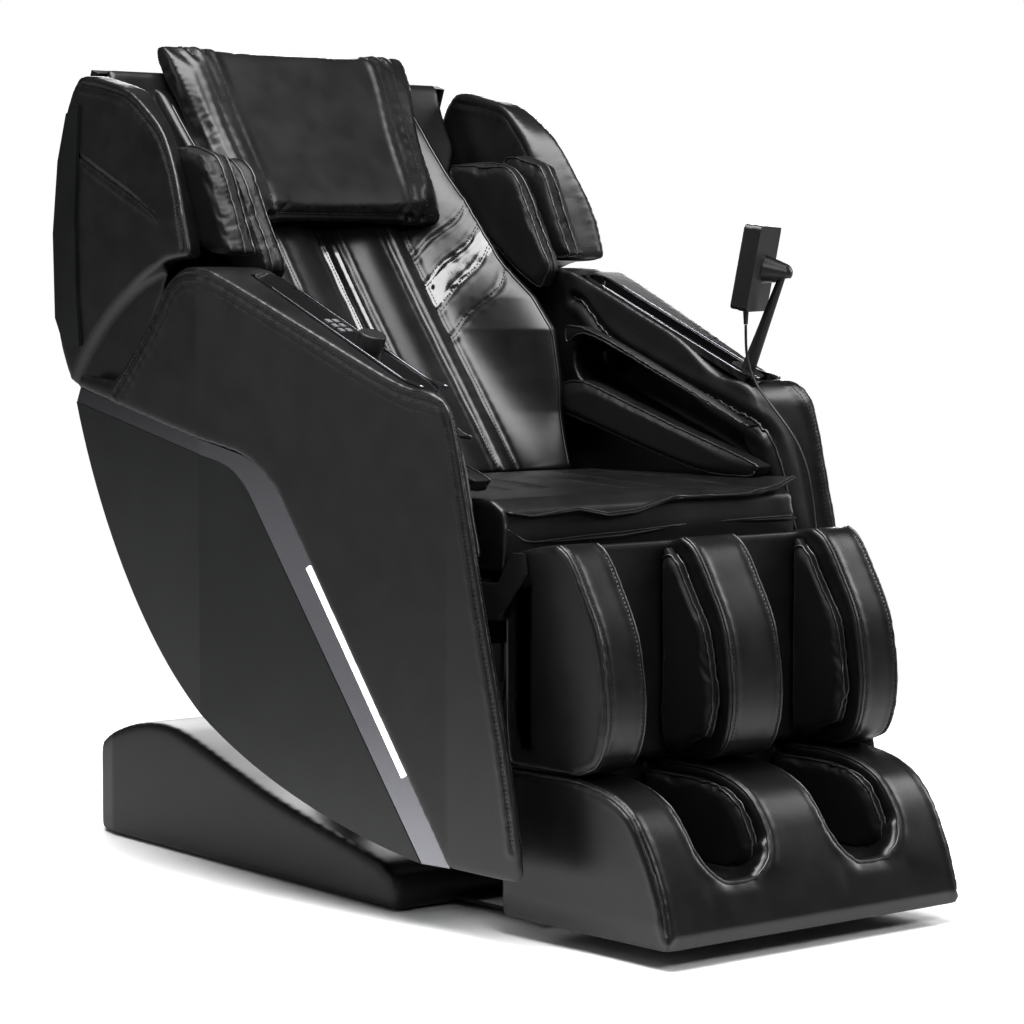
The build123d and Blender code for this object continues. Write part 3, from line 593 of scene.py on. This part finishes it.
TRAY_SLOPE = radians(22)
TRAY_HALF, TRAY_DEPTH, TRAY_CLEAR = 219, 9.2, 40


def sharp(outline):
    """The outline with every point doubled, so that its corners stay sharp."""
    return [tuple(corner) for corner in outline for _ in (0, 1)]


def tray_outline():
    """The console's slot seen from the side, sunk into the arm's top."""
    mid = np.array((650, 769 + (650 - 483) * tan(TRAY_SLOPE)))
    along = np.array((cos(TRAY_SLOPE), sin(TRAY_SLOPE)))
    up = np.array((-sin(TRAY_SLOPE), cos(TRAY_SLOPE)))
    corners = ((-TRAY_HALF, -TRAY_DEPTH), (-TRAY_HALF, TRAY_CLEAR),
               (TRAY_HALF, TRAY_CLEAR), (TRAY_HALF, -TRAY_DEPTH))
    return sharp(mid + along * a + up * u for a, u in corners)


ARM_ROLL = [(860, 880), (835, 868), (764, 811), (626, 756), (499, 716), (418, 683), (389, 645),
            (372, 600), (350, 530)]
ARM_FACE = [(420, 755), (399, 751), (364, 706), (335, 590), (305, 472), (252, 272), (224, 144)]


def arm(name, hand):
    def drawn_in(x, y, z):
        """The arm's thickness follows the sides as they draw in towards the front."""
        wide, station = abs(x) / MM, (y - FRONT) / MM
        wide = ARM_INNER + (wide - ARM_INNER) * (skin(station) - ARM_INNER) / (ARM_OUTER - ARM_INNER)
        bevel = 1.2 * max(0, 346 - wide) * step_up((640 - station) / 200)
        return hand * wide * MM, y + bevel * MM, z

    def both(*slabs):
        return [(outline, min(hand * a, hand * b), max(hand * a, hand * b)) for outline, a, b in slabs]

    solids = both((ARM_FORM, 387, ARM_OUTER), (ARM_CORE, ARM_INNER, 380), (ARM_UPPER, 376, ARM_OUTER))
    obj = form(f"arm_leather_{name}", solids, both((CHANNEL, 280, 364)), 0.0045, 13, drawn_in)
    cut_out(obj, form("slot_tool", both((tray_outline(), 298.8, 345.2)), voxel=0.004, rounds=0))
    top = ARM_TOP[1:]
    edge = smooth_line(flank(hand, inset(top, -13), -1))
    second = smooth_line(flank(hand, inset(ARM_TOP[1:10], -24), 0))
    roll = smooth_line(side(hand * ARM_INNER, ARM_ROLL))
    face = smooth_line(side(hand * 338, ARM_FACE))
    carve(obj, [edge, face], 0.003, 0.0024)
    carve(obj, [second], 0.0026, 0.0014)
    carve(obj, [roll], 0.007, 0.006)
    settle(obj, "seat", "black_leather", f"arm_shell_{name}", fill=0.5, material=LEATHER)
    rows = [flank(hand, inset(top, -9), -1), flank(hand, inset(top, -17), -1),
            flank(hand, inset(ARM_TOP[1:10], -28), 0), shifted(face, (hand * 4, 0, 0)),
            shifted(face, (-hand * 4, 0, 0))]
    stitches(f"arm_stitching_{name}", obj, rows)
    piping(f"arm_piping_{name}", obj, [roll], 0.0026)


for name, hand in (("right", -1), ("left", 1)):
    arm(name, hand)


# ---- airbag pads: slack stretch covers with corded edges ----
def airbag_pads(name, node, body, slabs, outlines, cap=0.006, rounds=7):
    """Pads cut a little small, blown up and edged with piping."""
    obj = form(name, slabs, voxel=0.004, rounds=rounds)
    points, normals = vectors(obj), vectors(obj, "normal")
    set_points(obj, points - normals * cap * 0.5)
    inflate(obj, cap)
    settle(obj, body, "dark_pad", node, fill=0.6, material=AIRBAG)
    piping(f"{name}_piping", obj, outlines, 0.0017, 0.0008)


LOWER_BAG = [(402, 622), (410, 640), (640, 712), (788, 752), (850, 748), (888, 726), (880, 706),
             (740, 664), (540, 616), (420, 612)]
UPPER_BAG = [(440, 697), (620, 768), (770, 826), (845, 838), (846, 806), (790, 820), (620, 757),
             (450, 694)]
for name, hand in (("right", -1), ("left", 1)):
    low, high = sorted((hand * 254, hand * 291))
    rims = [smooth_line(side(hand * 255, LOWER_BAG), closed=True),
            smooth_line(side(hand * 263, UPPER_BAG), closed=True)]
    airbag_pads(f"forearm_airbags_{name}", f"arm_airbags_{name}", "seat",
                [(LOWER_BAG, low, high), (UPPER_BAG, low + 8 * (hand > 0), high - 8 * (hand < 0))], rims)

# ---- bright rims along the consoles ----
RIM_RADIUS = 0.0024
TOP_STATIONS, TOP_HEIGHTS = zip(*reversed(ARM_TOP[3:]))
RIM_LINE = [(s, float(np.interp(s, TOP_STATIONS, TOP_HEIGHTS)) + 1.5) for s in range(440, 820, 20)]
for name, hand in (("right", -1), ("left", 1)):
    for edge, x in (("inner", 300.5), ("outer", 343.5)):
        rim_line = smooth_line(side(hand * x, RIM_LINE))
        rim = tube(f"console_rim_{edge}_{name}", rim_line, RIM_RADIUS, DARK_CHROME)
        settle(rim, "seat", "dark_chrome")

# ---- wings: padded shoulders with a stitched front strip ----
WING_FORM = [(1237, 1224), (1169, 1214), (1110, 1198), (1056, 1168), (1012, 1134), (975, 1085),
             (946, 1035), (926, 985), (917, 952), (922, 941), (1000, 932), (1035, 880), (1075, 815),
             (1130, 745), (1175, 714), (1239, 715), (1283, 760), (1318, 846), (1324, 982), (1309, 1095),
             (1277, 1185)]
WING_EDGE = [(1237, 1212), (1169, 1201), (1110, 1186), (1064, 1158), (1024, 1126), (989, 1080),
             (960, 1030), (941, 985), (934, 958)]
WING_CROSS = [(1290, 1120), (1269, 1111), (1117, 1045), (1010, 1003)]


WING_INNER, WING_OUTER, WING_TAIL = 350, 392, 381
RECLINE_PIVOT = (900, 480)
ARM_REACH = 456


def winged(x, y, z):
    """The front edge opens outwards as it comes down; the tail is thin to swing behind the arm."""
    hand = 1 if x > 0 else -1
    station, height = (y - FRONT) / MM, z / MM
    forward = min(1, max(0, (1110 - station) / 160))
    lower = min(1, max(0, (1130 - height) / 130))
    reach = float(np.hypot(station - RECLINE_PIVOT[0], height - RECLINE_PIVOT[1]))
    thick = (WING_OUTER - WING_TAIL + 17 * forward * lower) * min(1, max(0, (reach - ARM_REACH) / 10))
    share = min(1, max(0, (abs(x) / MM - WING_INNER) / (WING_OUTER - WING_INNER)))
    wide = WING_INNER + share * (WING_TAIL + thick - WING_INNER)
    return hand * wide * MM, y + 52 * (1 - share) * forward * MM, z


def on_wing(x, outline):
    """A seam's line, which follows the wing's own shape."""
    return smooth_line([winged(*point) for point in side(x, outline)])


for name, hand in (("right", -1), ("left", 1)):
    low, high = sorted((hand * WING_INNER, hand * WING_OUTER))
    obj = form(f"wing_leather_{name}", [(WING_FORM, low, high)], voxel=0.0042, rounds=14, shape=winged)
    strip_line = on_wing(hand * WING_OUTER, WING_EDGE)
    strip_inner = on_wing(hand * 352, inset(WING_EDGE, -4))
    cross = smooth_line(side(hand * WING_OUTER, WING_CROSS))
    carve(obj, [strip_line, cross], 0.0034, 0.0028)
    carve(obj, [strip_inner], 0.0032, 0.0022)
    settle(obj, "back", "black_leather", f"wing_{name}", fill=0.6, material=LEATHER)
    stitches(f"wing_stitching_{name}", obj, [
        shifted(strip_line, (0, 4, -2)), shifted(strip_line, (0, -4, 2)),
        shifted(strip_inner, (0, 3, -1)), shifted(cross, (0, -1, 3.5)), shifted(cross, (0, 1, -3.5))])

# ---- shoulder pads ----
OUTER_LEAF = [(1060, 1106), (981, 1103), (952, 1085), (920, 1025), (896, 970), (891, 945), (960, 950),
              (1060, 1000)]
INNER_LEAF = [(1139, 1089), (1103, 1102), (1003, 1099), (970, 1085), (949, 1061), (903, 982),
              (879, 932), (888, 912), (911, 895), (1000, 940), (1090, 1012)]
for name, hand in (("right", -1), ("left", 1)):
    def leaf(outline, a, b):
        return outline, min(hand * a, hand * b), max(hand * a, hand * b)

    middle = [(s + 9, h) for s, h in INNER_LEAF]
    rims = [smooth_line(side(hand * 258, INNER_LEAF), closed=True),
            smooth_line(side(hand * 278, middle[:9])),
            smooth_line(side(hand * 305, OUTER_LEAF), closed=True),
            smooth_line(side(hand * 327, OUTER_LEAF[:6]))]
    airbag_pads(f"shoulder_airbags_{name}", f"shoulder_pad_{name}", "back",
                [leaf(INNER_LEAF, 257, 272), leaf(middle, 270, 292), leaf(OUTER_LEAF, 303, 325),
                 leaf([(s + 8, h) for s, h in OUTER_LEAF], 324, 347),
                 leaf([(1040, 1060), (980, 1040), (960, 990), (1040, 1010)], 288, 306)], rims, rounds=6)


# ---- back pad: long channels, a ridge on each side and chevron panels on raised bolsters ----
BOLSTER_LINE = [(806, 605), (828, 700), (832, 752), (844, 831), (892, 882), (974, 934), (1009, 971),
                (1037, 1003), (1067, 1038), (1120, 1085), (1165, 1130), (1205, 1175), (1240, 1212)]
BACK_LOW, BACK_HIGH, BACK_HALF = 605, 1212, 250


def doubled_grid(columns, levels):
    """The faces of a closed pad: a front grid of points, a rear one after it, and the rim."""
    size = columns * levels
    faces = []
    for j in range(levels - 1):
        for i in range(columns - 1):
            a = j * columns + i
            b = a + columns
            faces += [(a, a + 1, b + 1, b), (size + a, size + b, size + b + 1, size + a + 1)]
    ring = (list(range(columns)) + [j * columns + columns - 1 for j in range(1, levels)]
            + [(levels - 1) * columns + i for i in range(columns - 2, -1, -1)]
            + [j * columns for j in range(levels - 2, 0, -1)])
    return faces + [(a, size + a, size + b, b) for a, b in zip(ring, ring[1:] + ring[:1])]


def middle_station(height):
    """The back pad's station along its middle."""
    stations, heights = zip(*PAD_LINE)
    return float(np.interp(height, heights, stations))


def back_face(x, height, lift=0.0):
    """A point on the back pad's front: a hollow middle, two ridges and scooped bolsters."""
    stations, heights = zip(*BOLSTER_LINE)
    border = float(np.interp(height, heights, stations))
    middle = middle_station(height)
    wide = abs(x)
    station = middle + (border - middle) * step_up((wide - 148) / 102)
    station += 13 * np.exp(-(x / 46) ** 2) * step_up((height - 620) / 70)
    station -= 8 * np.exp(-((wide - 128) / 13) ** 2) + 4 * np.exp(-((wide - 70) / 26) ** 2)
    station += 2.2 * sin(height / 31 + x / 45) * sin(x / 38 + 1.3) * step_up((wide - 150) / 60)
    edge = max(0, (wide - 236) / 14, (height - 1194) / 18, (622 - height) / 17)
    station += 14 * (1 - np.sqrt(max(0, 1 - min(1, edge) ** 2)))
    return at(x, station - lift, height)


def pad_line(points):
    return smooth_line([back_face(x, h) for x, h in points])


columns, levels = 167, 203
widths, heights = np.linspace(-BACK_HALF, BACK_HALF, columns), np.linspace(BACK_LOW, BACK_HIGH, levels)
verts = [back_face(x, h) for h in heights for x in widths]
verts += [at(x, middle_station(h) + 42, h) for h in heights for x in widths]
back = mesh_object("back_leather", verts, doubled_grid(columns, levels))
seams, chevrons = [], []
CHEVRONS = ((944, 1038), (902, 1003), (860, 971), (818, 934))
for hand in (-1, 1):
    seams.append(pad_line([(hand * 111, h) for h in (1185, 1080, 966, 862, 737, 610)]))
    seams.append(pad_line([(hand * 146, h) for h in (1185, 1080, 971, 846, 728, 610)]))
    seams.append(pad_line([(hand * 19, h) for h in (1180, 1050, 970, 890, 813, 700, 612)]))
    for inner, outer in CHEVRONS:
        chevrons.append(pad_line([(hand * x, inner + (outer - inner) * (x - 148) / 100)
                                  for x in (148, 180, 215, 247)]))
carve(back, seams, 0.0034, 0.0046)
carve(back, chevrons, 0.003, 0.0034)
settle(back, "back", "black_leather", "back_pad", fill=0.7, material=LEATHER)
back.data.materials.append(PATENT)
for face in back.data.polygons:
    x, y, z = face.center
    wide, high = abs(x) / MM, z / MM
    share = (wide - 148) / 100
    stripe = 148 < wide < 247 and 860 + 111 * share < high < 902 + 101 * share
    if face.normal.y < -0.1 and (stripe or wide < 18):
        face.material_index = 1
threads = []
for line in seams:
    threads += [shifted(line, (4.5, 0, 0)), shifted(line, (-4.5, 0, 0))]
for line in chevrons:
    threads += [shifted(line, (0, 2, 4)), shifted(line, (0, -2, -4))]
stitches("back_stitching", back, threads)
borders = [smooth_line([back_face(hand * 238, h, 1) for h in range(615, 1200, 30)]) for hand in (-1, 1)]
piping("back_piping", back, borders, 0.002)

# ---- upper back: a leather sheet from the bolsters up to the crown, behind the pillow ----
SHEET = [(1150, 1035), (1176, 1070), (1212, 1132), (1244, 1195), (1256, 1232), (1266, 1238), (1270, 1225),
         (1262, 1185), (1230, 1120), (1196, 1060), (1165, 1022)]


def shouldered(x, y, z):
    """Wider at the top, where it wraps towards the wings."""
    return x * (0.88 + 0.15 * step_up((z / MM - 1050) / 90)), y, z


upper = form("upper_back_leather", [(SHEET, -318, 318)], voxel=0.0045, rounds=6, shape=shouldered)
settle(upper, "back", "black_leather", fill=0.4, material=LEATHER)

# ---- head pillow: pin tucks at both sides and a turned, stitched hem ----
PILLOW_FORM = [(1088, 1003), (1095, 1030), (1112, 1066), (1140, 1112), (1168, 1160), (1200, 1222),
               (1222, 1258), (1240, 1276), (1256, 1281), (1266, 1274), (1262, 1250), (1240, 1200),
               (1198, 1118), (1152, 1038), (1120, 1002), (1104, 997)]
PILLOW_FACE = [(1096, 1010), (1112, 1062), (1168, 1160), (1222, 1258), (1240, 1276)]


def pillow_width(height):
    """The pillow's share of its full width, narrower at the chin than at the crown."""
    return 0.83 + 0.15 * (height - 1000) / 280


def tapered(x, y, z):
    return x * pillow_width(z / MM), y, z


def pillow_fold(wide):
    """A tuck's line down the pillow's face."""
    return smooth_line([at(wide * pillow_width(h), s, h) for s, h in PILLOW_FACE])


pillow = form("pillow_leather", [(PILLOW_FORM, -246, 246)], voxel=0.0042, rounds=10, shape=tapered)
inflate(pillow, 0.008)
tucks = [pillow_fold(hand * wide) for hand in (-1, 1) for wide in (168, 196)]
hem = smooth_line([at(x, 1094, 1012) for x in (-192, -96, 0, 96, 192)])
carve(pillow, tucks, 0.0042, 0.0065)
carve(pillow, [hem], 0.003, 0.002)
settle(pillow, "pillow", "black_leather", "head_pillow", fill=0.7, material=LEATHER)
stitches("pillow_stitching", pillow,
         [shifted(line, (3.5, 0, 0)) for line in tucks] + [shifted(hem, (0, 0, 3))])


# ---- seat: a channelled cushion under two loose front flaps ----
def wavy_flap(name, half, back_station, front_station, back_height, lip, thick, sag):
    """A padded leather flap whose front edge waves; lip gives its height across."""
    columns, levels = 96, 60
    verts = []
    for layer in (0, 1):
        for v in np.arange(levels) / (levels - 1):
            for x in np.linspace(-half, half, columns):
                edge = np.interp(x, *lip)
                height = back_height * (1 - v ** 2.2) + edge * v ** 2.2 + sag * sin(pi * v)
                rim = min(1, (1 - abs(x) / half) * 14, (1 - v) * 10) ** 0.5
                body = thick * (0.25 + 0.75 * rim)
                station = back_station + (front_station - back_station) * v + 5 * sin(x / 60)
                verts.append(at(x, station, height + (0 if layer else -body)))
    flap = mesh_object(name, verts, doubled_grid(columns, levels), LEATHER)
    rounder = flap.modifiers.new("rounder", "SUBSURF")
    rounder.levels = rounder.render_levels = 1
    return applied(flap)


seat = soft_copy("seat_leather", "seat_cushion", 0.0045, 12)
settle(seat, "seat", "black_leather", "seat_cushion", fill=0.8, material=LEATHER)
UPPER_LIP = ((-272, -225, -150, -95, -40, 30, 110, 180, 240, 272),
             (590, 583, 590, 579, 582, 598, 598, 597, 607, 620))
LOWER_LIP = ((-272, -240, -180, -65, 42, 150, 272), (566, 547, 546, 549, 557, 559, 558))
FLAP_STATIONS = (345, 420, 520, 640, 760)
upper_flap = wavy_flap("seat_upper_flap", 272, 800, 332, 611, UPPER_LIP, 13, 1)
lower_flap = wavy_flap("seat_lower_flap", 274, 420, 336, 568, LOWER_LIP, 8, 2)
flap_seams = []
for middle in (-196, -96, 96, 196):
    lean = 0.16 if middle > 0 else -0.16
    flap_seams.append(smooth_line([at(middle + lean * (s - 330) * 0.5, s, 606) for s in FLAP_STATIONS]))
for middle in (-40, 40):
    flap_seams.append(smooth_line([at(middle, s, 606) for s in FLAP_STATIONS]))
carve(upper_flap, flap_seams, 0.0045, 0.0045)
for piece in (upper_flap, lower_flap):
    settle(piece, "seat", "black_leather", fill=0.3)
stitches("seat_stitching", upper_flap, [shifted(line, (5, 0, 0)) for line in flap_seams])
lip_line = smooth_line([at(x, 334, h + 1) for x, h in zip(*UPPER_LIP)])
piping("seat_flap_piping", upper_flap, [lip_line], 0.0018)
lower_lip = smooth_line([at(x, 338, h + 1) for x, h in zip(*LOWER_LIP)])
piping("seat_lower_piping", lower_flap, [lower_lip], 0.0016)


# ---- calf unit: three padded walls, each with a stitched strip round its front ----
def slimmed(outline):
    """The walls' fronts stand a little behind the foot unit's."""
    return [(255 - 0.8 * (255 - station) if station < 255 else station, height)
            for station, height in outline]


CALF_FORM = slimmed([(255, 545), (255, 545), (222, 550), (188, 534), (150, 488), (113, 432), (96, 372),
                     (93, 322), (102, 285), (123, 257), (165, 243), (210, 241), (255, 241), (255, 241)])
CALF_SIDE = [(330, 241), (330, 241), (337, 300), (337, 490), (326, 528), (290, 542)] + CALF_FORM[2:12]
walls = form("calf_leather", hands(CALF_SIDE, 205, 280) + [(CALF_FORM, -50, 50)], voxel=0.0045, rounds=12)
WALL_EDGES = [(-280, 1), (-205, -1), (-50, 1), (50, -1), (205, 1), (280, -1)]
front_edge = slimmed(CALF_WALL[1:10])
strips = [smooth_line(side(x + toward * 3, inset(front_edge, 3))) for x, toward in WALL_EDGES]
carve(walls, strips, 0.0034, 0.0034)
settle(walls, "calf", "black_leather", "calf_walls", fill=0.7, material=LEATHER)
stitches("calf_stitching", walls,
         [shifted(line, (toward * 6, 0, 0)) for line, (_, toward) in zip(strips, WALL_EDGES)])
piping("calf_piping", walls, strips, 0.0020)
shell = soft_copy("calf_back_leather", "calf_shell", 0.005, 8)
settle(shell, "calf", "black_leather", "calf_shell", fill=0.4, material=LEATHER)
CALF_BAG = slimmed([(254, 520), (214, 524), (165, 470), (130, 420), (112, 340), (124, 290), (150, 268),
                    (254, 262)])
rims = [smooth_line(side(x, CALF_BAG[:-1])) for x in (-203, -188, -67, -52, 52, 67, 188, 203)]
airbag_pads("calf_airbag_pads", "calf_airbags", "calf",
            hands(CALF_BAG, 51, 68) + hands(CALF_BAG, 187, 204), rims)

# ---- foot unit: padded shell with two scooped foot wells ----
FOOT_FORM = [(347, 25), (347, 25), (347, 236), (347, 236), (255, 236), (200, 236), (165, 233), (124, 224),
             (88, 207), (60, 180), (40, 148), (18, 99), (4, 52), (1, 38), (2, 27), (2, 27)]


def foot_floor(height, front):
    """The foot unit below a well's floor at that height, which meets the front face at front."""
    return (sharp([(347, 25), (347, 236), (292, 236), (292, height)])
            + [(120, height), (80, height + 2), (front + 28, height + 14), (front + 12, height + 24),
               (front - 4, height + 8), (17, 92), (4, 52), (1, 38), (2, 27), (2, 27)])


def trimmed(x, y, z):
    """The lower rim stays inside the unit's outline."""
    low = min(1, max(0, (62 - z / MM) / 30))
    limit = (280 - 5 * low) * MM
    return max(-limit, min(limit, x)), max(y, FRONT + 5 * low * MM), z


steps = [(foot_floor(84, 22), -275, 275)]
for height, front, reach in ((94, 26, 36), (106, 30, 22), (124, 36, 12)):
    floor_below = foot_floor(height, front)
    steps += hands(floor_below, 54, 56 + reach) + hands(floor_below, 196 - reach, 198)
foot = form("foot_leather", hands(FOOT_FORM, 196, 280) + [(FOOT_FORM, -56, 56)] + steps,
            voxel=0.0048, rounds=13, shape=trimmed)
SIDE_EDGE = [(347, 236), (255, 236), (165, 234), (88, 210), (46, 159), (15, 99), (3, 48)]
edges = [smooth_line(side(x, inset(SIDE_EDGE, -4))) for x in (-277, 277)]
SCOOP = [(56, 250, 236), (54, 157, 232), (55, 90, 210), (58, 52, 168), (66, 32, 134), (92, 20, 116),
         (126, 17, 112), (160, 20, 116), (186, 32, 134), (194, 52, 168), (197, 90, 210), (198, 157, 232),
         (196, 250, 236)]
scoops = [smooth_line([at(hand * x, s, h) for x, s, h in SCOOP]) for hand in (-1, 1)]
carve(foot, edges, 0.0034, 0.0034)
carve(foot, scoops, 0.0036, 0.003)
settle(foot, "foot", "black_leather", "foot_shell", fill=0.6, material=LEATHER)
stitches("foot_stitching", foot, [shifted(line, (6 if line[0][0] < 0 else -6, 0, 0)) for line in edges])
piping("foot_piping", foot, edges + scoops, 0.0022)
FOOT_BAG = [(288, 226), (170, 226), (100, 205), (60, 150), (64, 112)]
rims = [smooth_line(side(x, FOOT_BAG)) for x in (-195, -180, -72, -57, 57, 72, 180, 195)]
FOOT_PAD = FOOT_BAG + [(110, 92), (288, 92), (288, 92), (288, 226)]
airbag_pads("foot_airbag_pads", "foot_airbags", "foot",
            hands(FOOT_PAD, 56, 73) + hands(FOOT_PAD, 179, 196), rims)

# ---- base cover: a moulded hood with a slot for the sliding carriage ----
BASE_SIDE = [(562, 3), (562, 3), (562, 42), (585, 58), (640, 78), (900, 128), (1120, 184), (1190, 199),
             (1250, 202), (1330, 190), (1414, 163), (1474, 128), (1500, 92), (1504, 60), (1504, 3),
             (1504, 3)]
BASE_HALF = 305
BASE_SLOT = sharp([(585, -20), (585, 160), (1215, 240), (1215, -20)])
BASE_PLAN = [(562, 300), (640, 298), (1390, 248), (1440, 236), (1480, 205), (1500, 160)]


def base_plan(x, y, z):
    """The hood narrows towards its tail."""
    stations, halves = zip(*BASE_PLAN)
    return x * float(np.interp((y - FRONT) / MM, stations, halves)) / BASE_HALF, y, z


SOCKET_GAP = 0.0015
SOCKET_REACH = 0.04
hood = form("base_hood", [(BASE_SIDE, -BASE_HALF, BASE_HALF)], voxel=0.006, rounds=9, shape=base_plan)
cut_out(hood, form("slot_tool", [(BASE_SLOT, -182, 182)], voxel=0.006, rounds=0))
for node in ("power_inlet", "power_switch"):
    corners = np.array([nodes[node].matrix_world @ Vector(corner) for corner in nodes[node].bound_box])
    low, high = corners.min(0) - SOCKET_GAP, corners.max(0) + SOCKET_GAP
    front, rear = (low[1] - FRONT) / MM, (high[1] + SOCKET_REACH - FRONT) / MM
    bottom, top = low[2] / MM, high[2] / MM
    outline = [(front, bottom), (front, top), (rear, top), (rear, bottom)]
    cut_out(hood, slab_object(f"socket_tool_{node}", [(outline, low[0] / MM, high[0] / MM)]))
settle(hood, "base", "matte_black", "base_cover", material=ABS_BLACK)

# ---- materials for the rigid pieces that keep their design shape ----
FINISHES = {
    "base_frame": POWDER_COAT, "base_cover": ABS_BLACK, "base_feet": RUBBER, "power_inlet": ABS_BLACK,
    "power_switch": PIANO_BLACK, "slide_carriage": POWDER_COAT, "lift_actuator": POWDER_COAT,
    "lift_rod": GROUND_STEEL, "seat_frame": POWDER_COAT, "control_box": ABS_BLACK,
    "recline_actuator": POWDER_COAT, "recline_rod": GROUND_STEEL, "legrest_actuator": POWDER_COAT,
    "legrest_rod": GROUND_STEEL, "side_panel_right": ABS_GRAPHITE, "side_panel_left": ABS_GRAPHITE,
    "side_trim_right": DARK_CHROME, "side_trim_left": DARK_CHROME, "led_strips": DIFFUSER,
    "console_right": PIANO_BLACK, "console_left": PIANO_BLACK, "control_knob": ABS_BLACK,
    "tablet_stand": ABS_BLACK, "tablet_holder": ABS_SATIN, "tablet": ABS_SATIN,
    "tablet_screen": SCREEN_GLASS, "cable_relief": CABLE_PVC, "cable_gland": CABLE_PVC,
    "back_frame": POWDER_COAT, "back_shell": ABS_GRAPHITE,
    "wing_panel_right": ABS_GRAPHITE, "wing_panel_left": ABS_GRAPHITE, "massage_rails": GROUND_STEEL,
    "roller_carriage": POWDER_COAT, "massage_rollers": ABS_BLACK, "foot_slide_rods": GROUND_STEEL}
FINISHES.update({f"key_{number}": KEY_ABS for number in range(1, 7)})
for node, material in FINISHES.items():
    slots = nodes[node].data.materials
    if not slots:
        slots.append(material)
    for index, _ in enumerate(slots):
        slots[index] = material

# ---- floor and studio light ----
floor = mesh_object("studio_floor", [(-9, -9, 0), (9, -9, 0), (9, 9, 0), (-9, 9, 0)], [(0, 1, 2, 3)])
# Painted near the chair, and further out it glows like a backdrop lit from behind.
white, tree, place = new_material("pale_matte_floor")
paint = add(tree, "ShaderNodeBsdfPrincipled", {"Base Color": srgb("f7f7f7"), "Roughness": 0.9})
glow = add(tree, "ShaderNodeEmission", {"Color": srgb("ffffff"), "Strength": 1.0})
away = add(tree, "ShaderNodeVectorMath", {0: place}, operation="LENGTH")
lit = add(tree, "ShaderNodeMapRange", {"Value": away.outputs["Value"], "From Min": 1.0, "From Max": 2.6})
finish_material(tree, add(tree, "ShaderNodeMixShader", {
    0: lit.outputs[0], 1: paint.outputs[0], 2: glow.outputs[0]}))
dress(floor, white, smooth=False)


def softbox(name, place, target, width, height, power):
    """A rectangular studio lamp aimed at a target; sizes in metres, power in watts."""
    lamp = bpy.data.lights.new(name, "AREA")
    lamp.shape = "RECTANGLE"
    lamp.size, lamp.size_y, lamp.energy = width, height, power
    obj = bpy.data.objects.new(name, lamp)
    obj.location = place
    obj.rotation_euler = (Vector(target) - Vector(place)).to_track_quat("-Z", "Y").to_euler()
    scene.collection.objects.link(obj)


softbox("overhead", (-0.6, -0.4, 3.1), (0, 0, 0.4), 2.4, 2.4, 240)
softbox("left_bank", (-3.4, 1.6, 1.9), (0, 0, 0.7), 1.2, 2.2, 26)
softbox("front_bank", (-0.9, -4.2, 2.9), (0, 0, 0.5), 2.4, 0.9, 105)
softbox("right_rim", (3.2, -1.2, 2.0), (0.2, 0, 0.6), 0.9, 2.2, 75)
softbox("rear_rim", (2.0, 3.1, 1.7), (0, 0, 0.6), 2.8, 1.3, 130)
world = bpy.data.worlds.new("white_studio")
world.use_nodes = True
tree = world.node_tree
shown = add(tree, "ShaderNodeLightPath")
power = add(tree, "ShaderNodeMapRange", {
    "Value": shown.outputs["Is Camera Ray"], "To Min": 0.1, "To Max": 1.0})
tree.links.new(power.outputs[0], tree.nodes["Background"].inputs["Strength"])
tree.nodes["Background"].inputs["Color"].default_value = srgb("ffffff")
scene.world = world
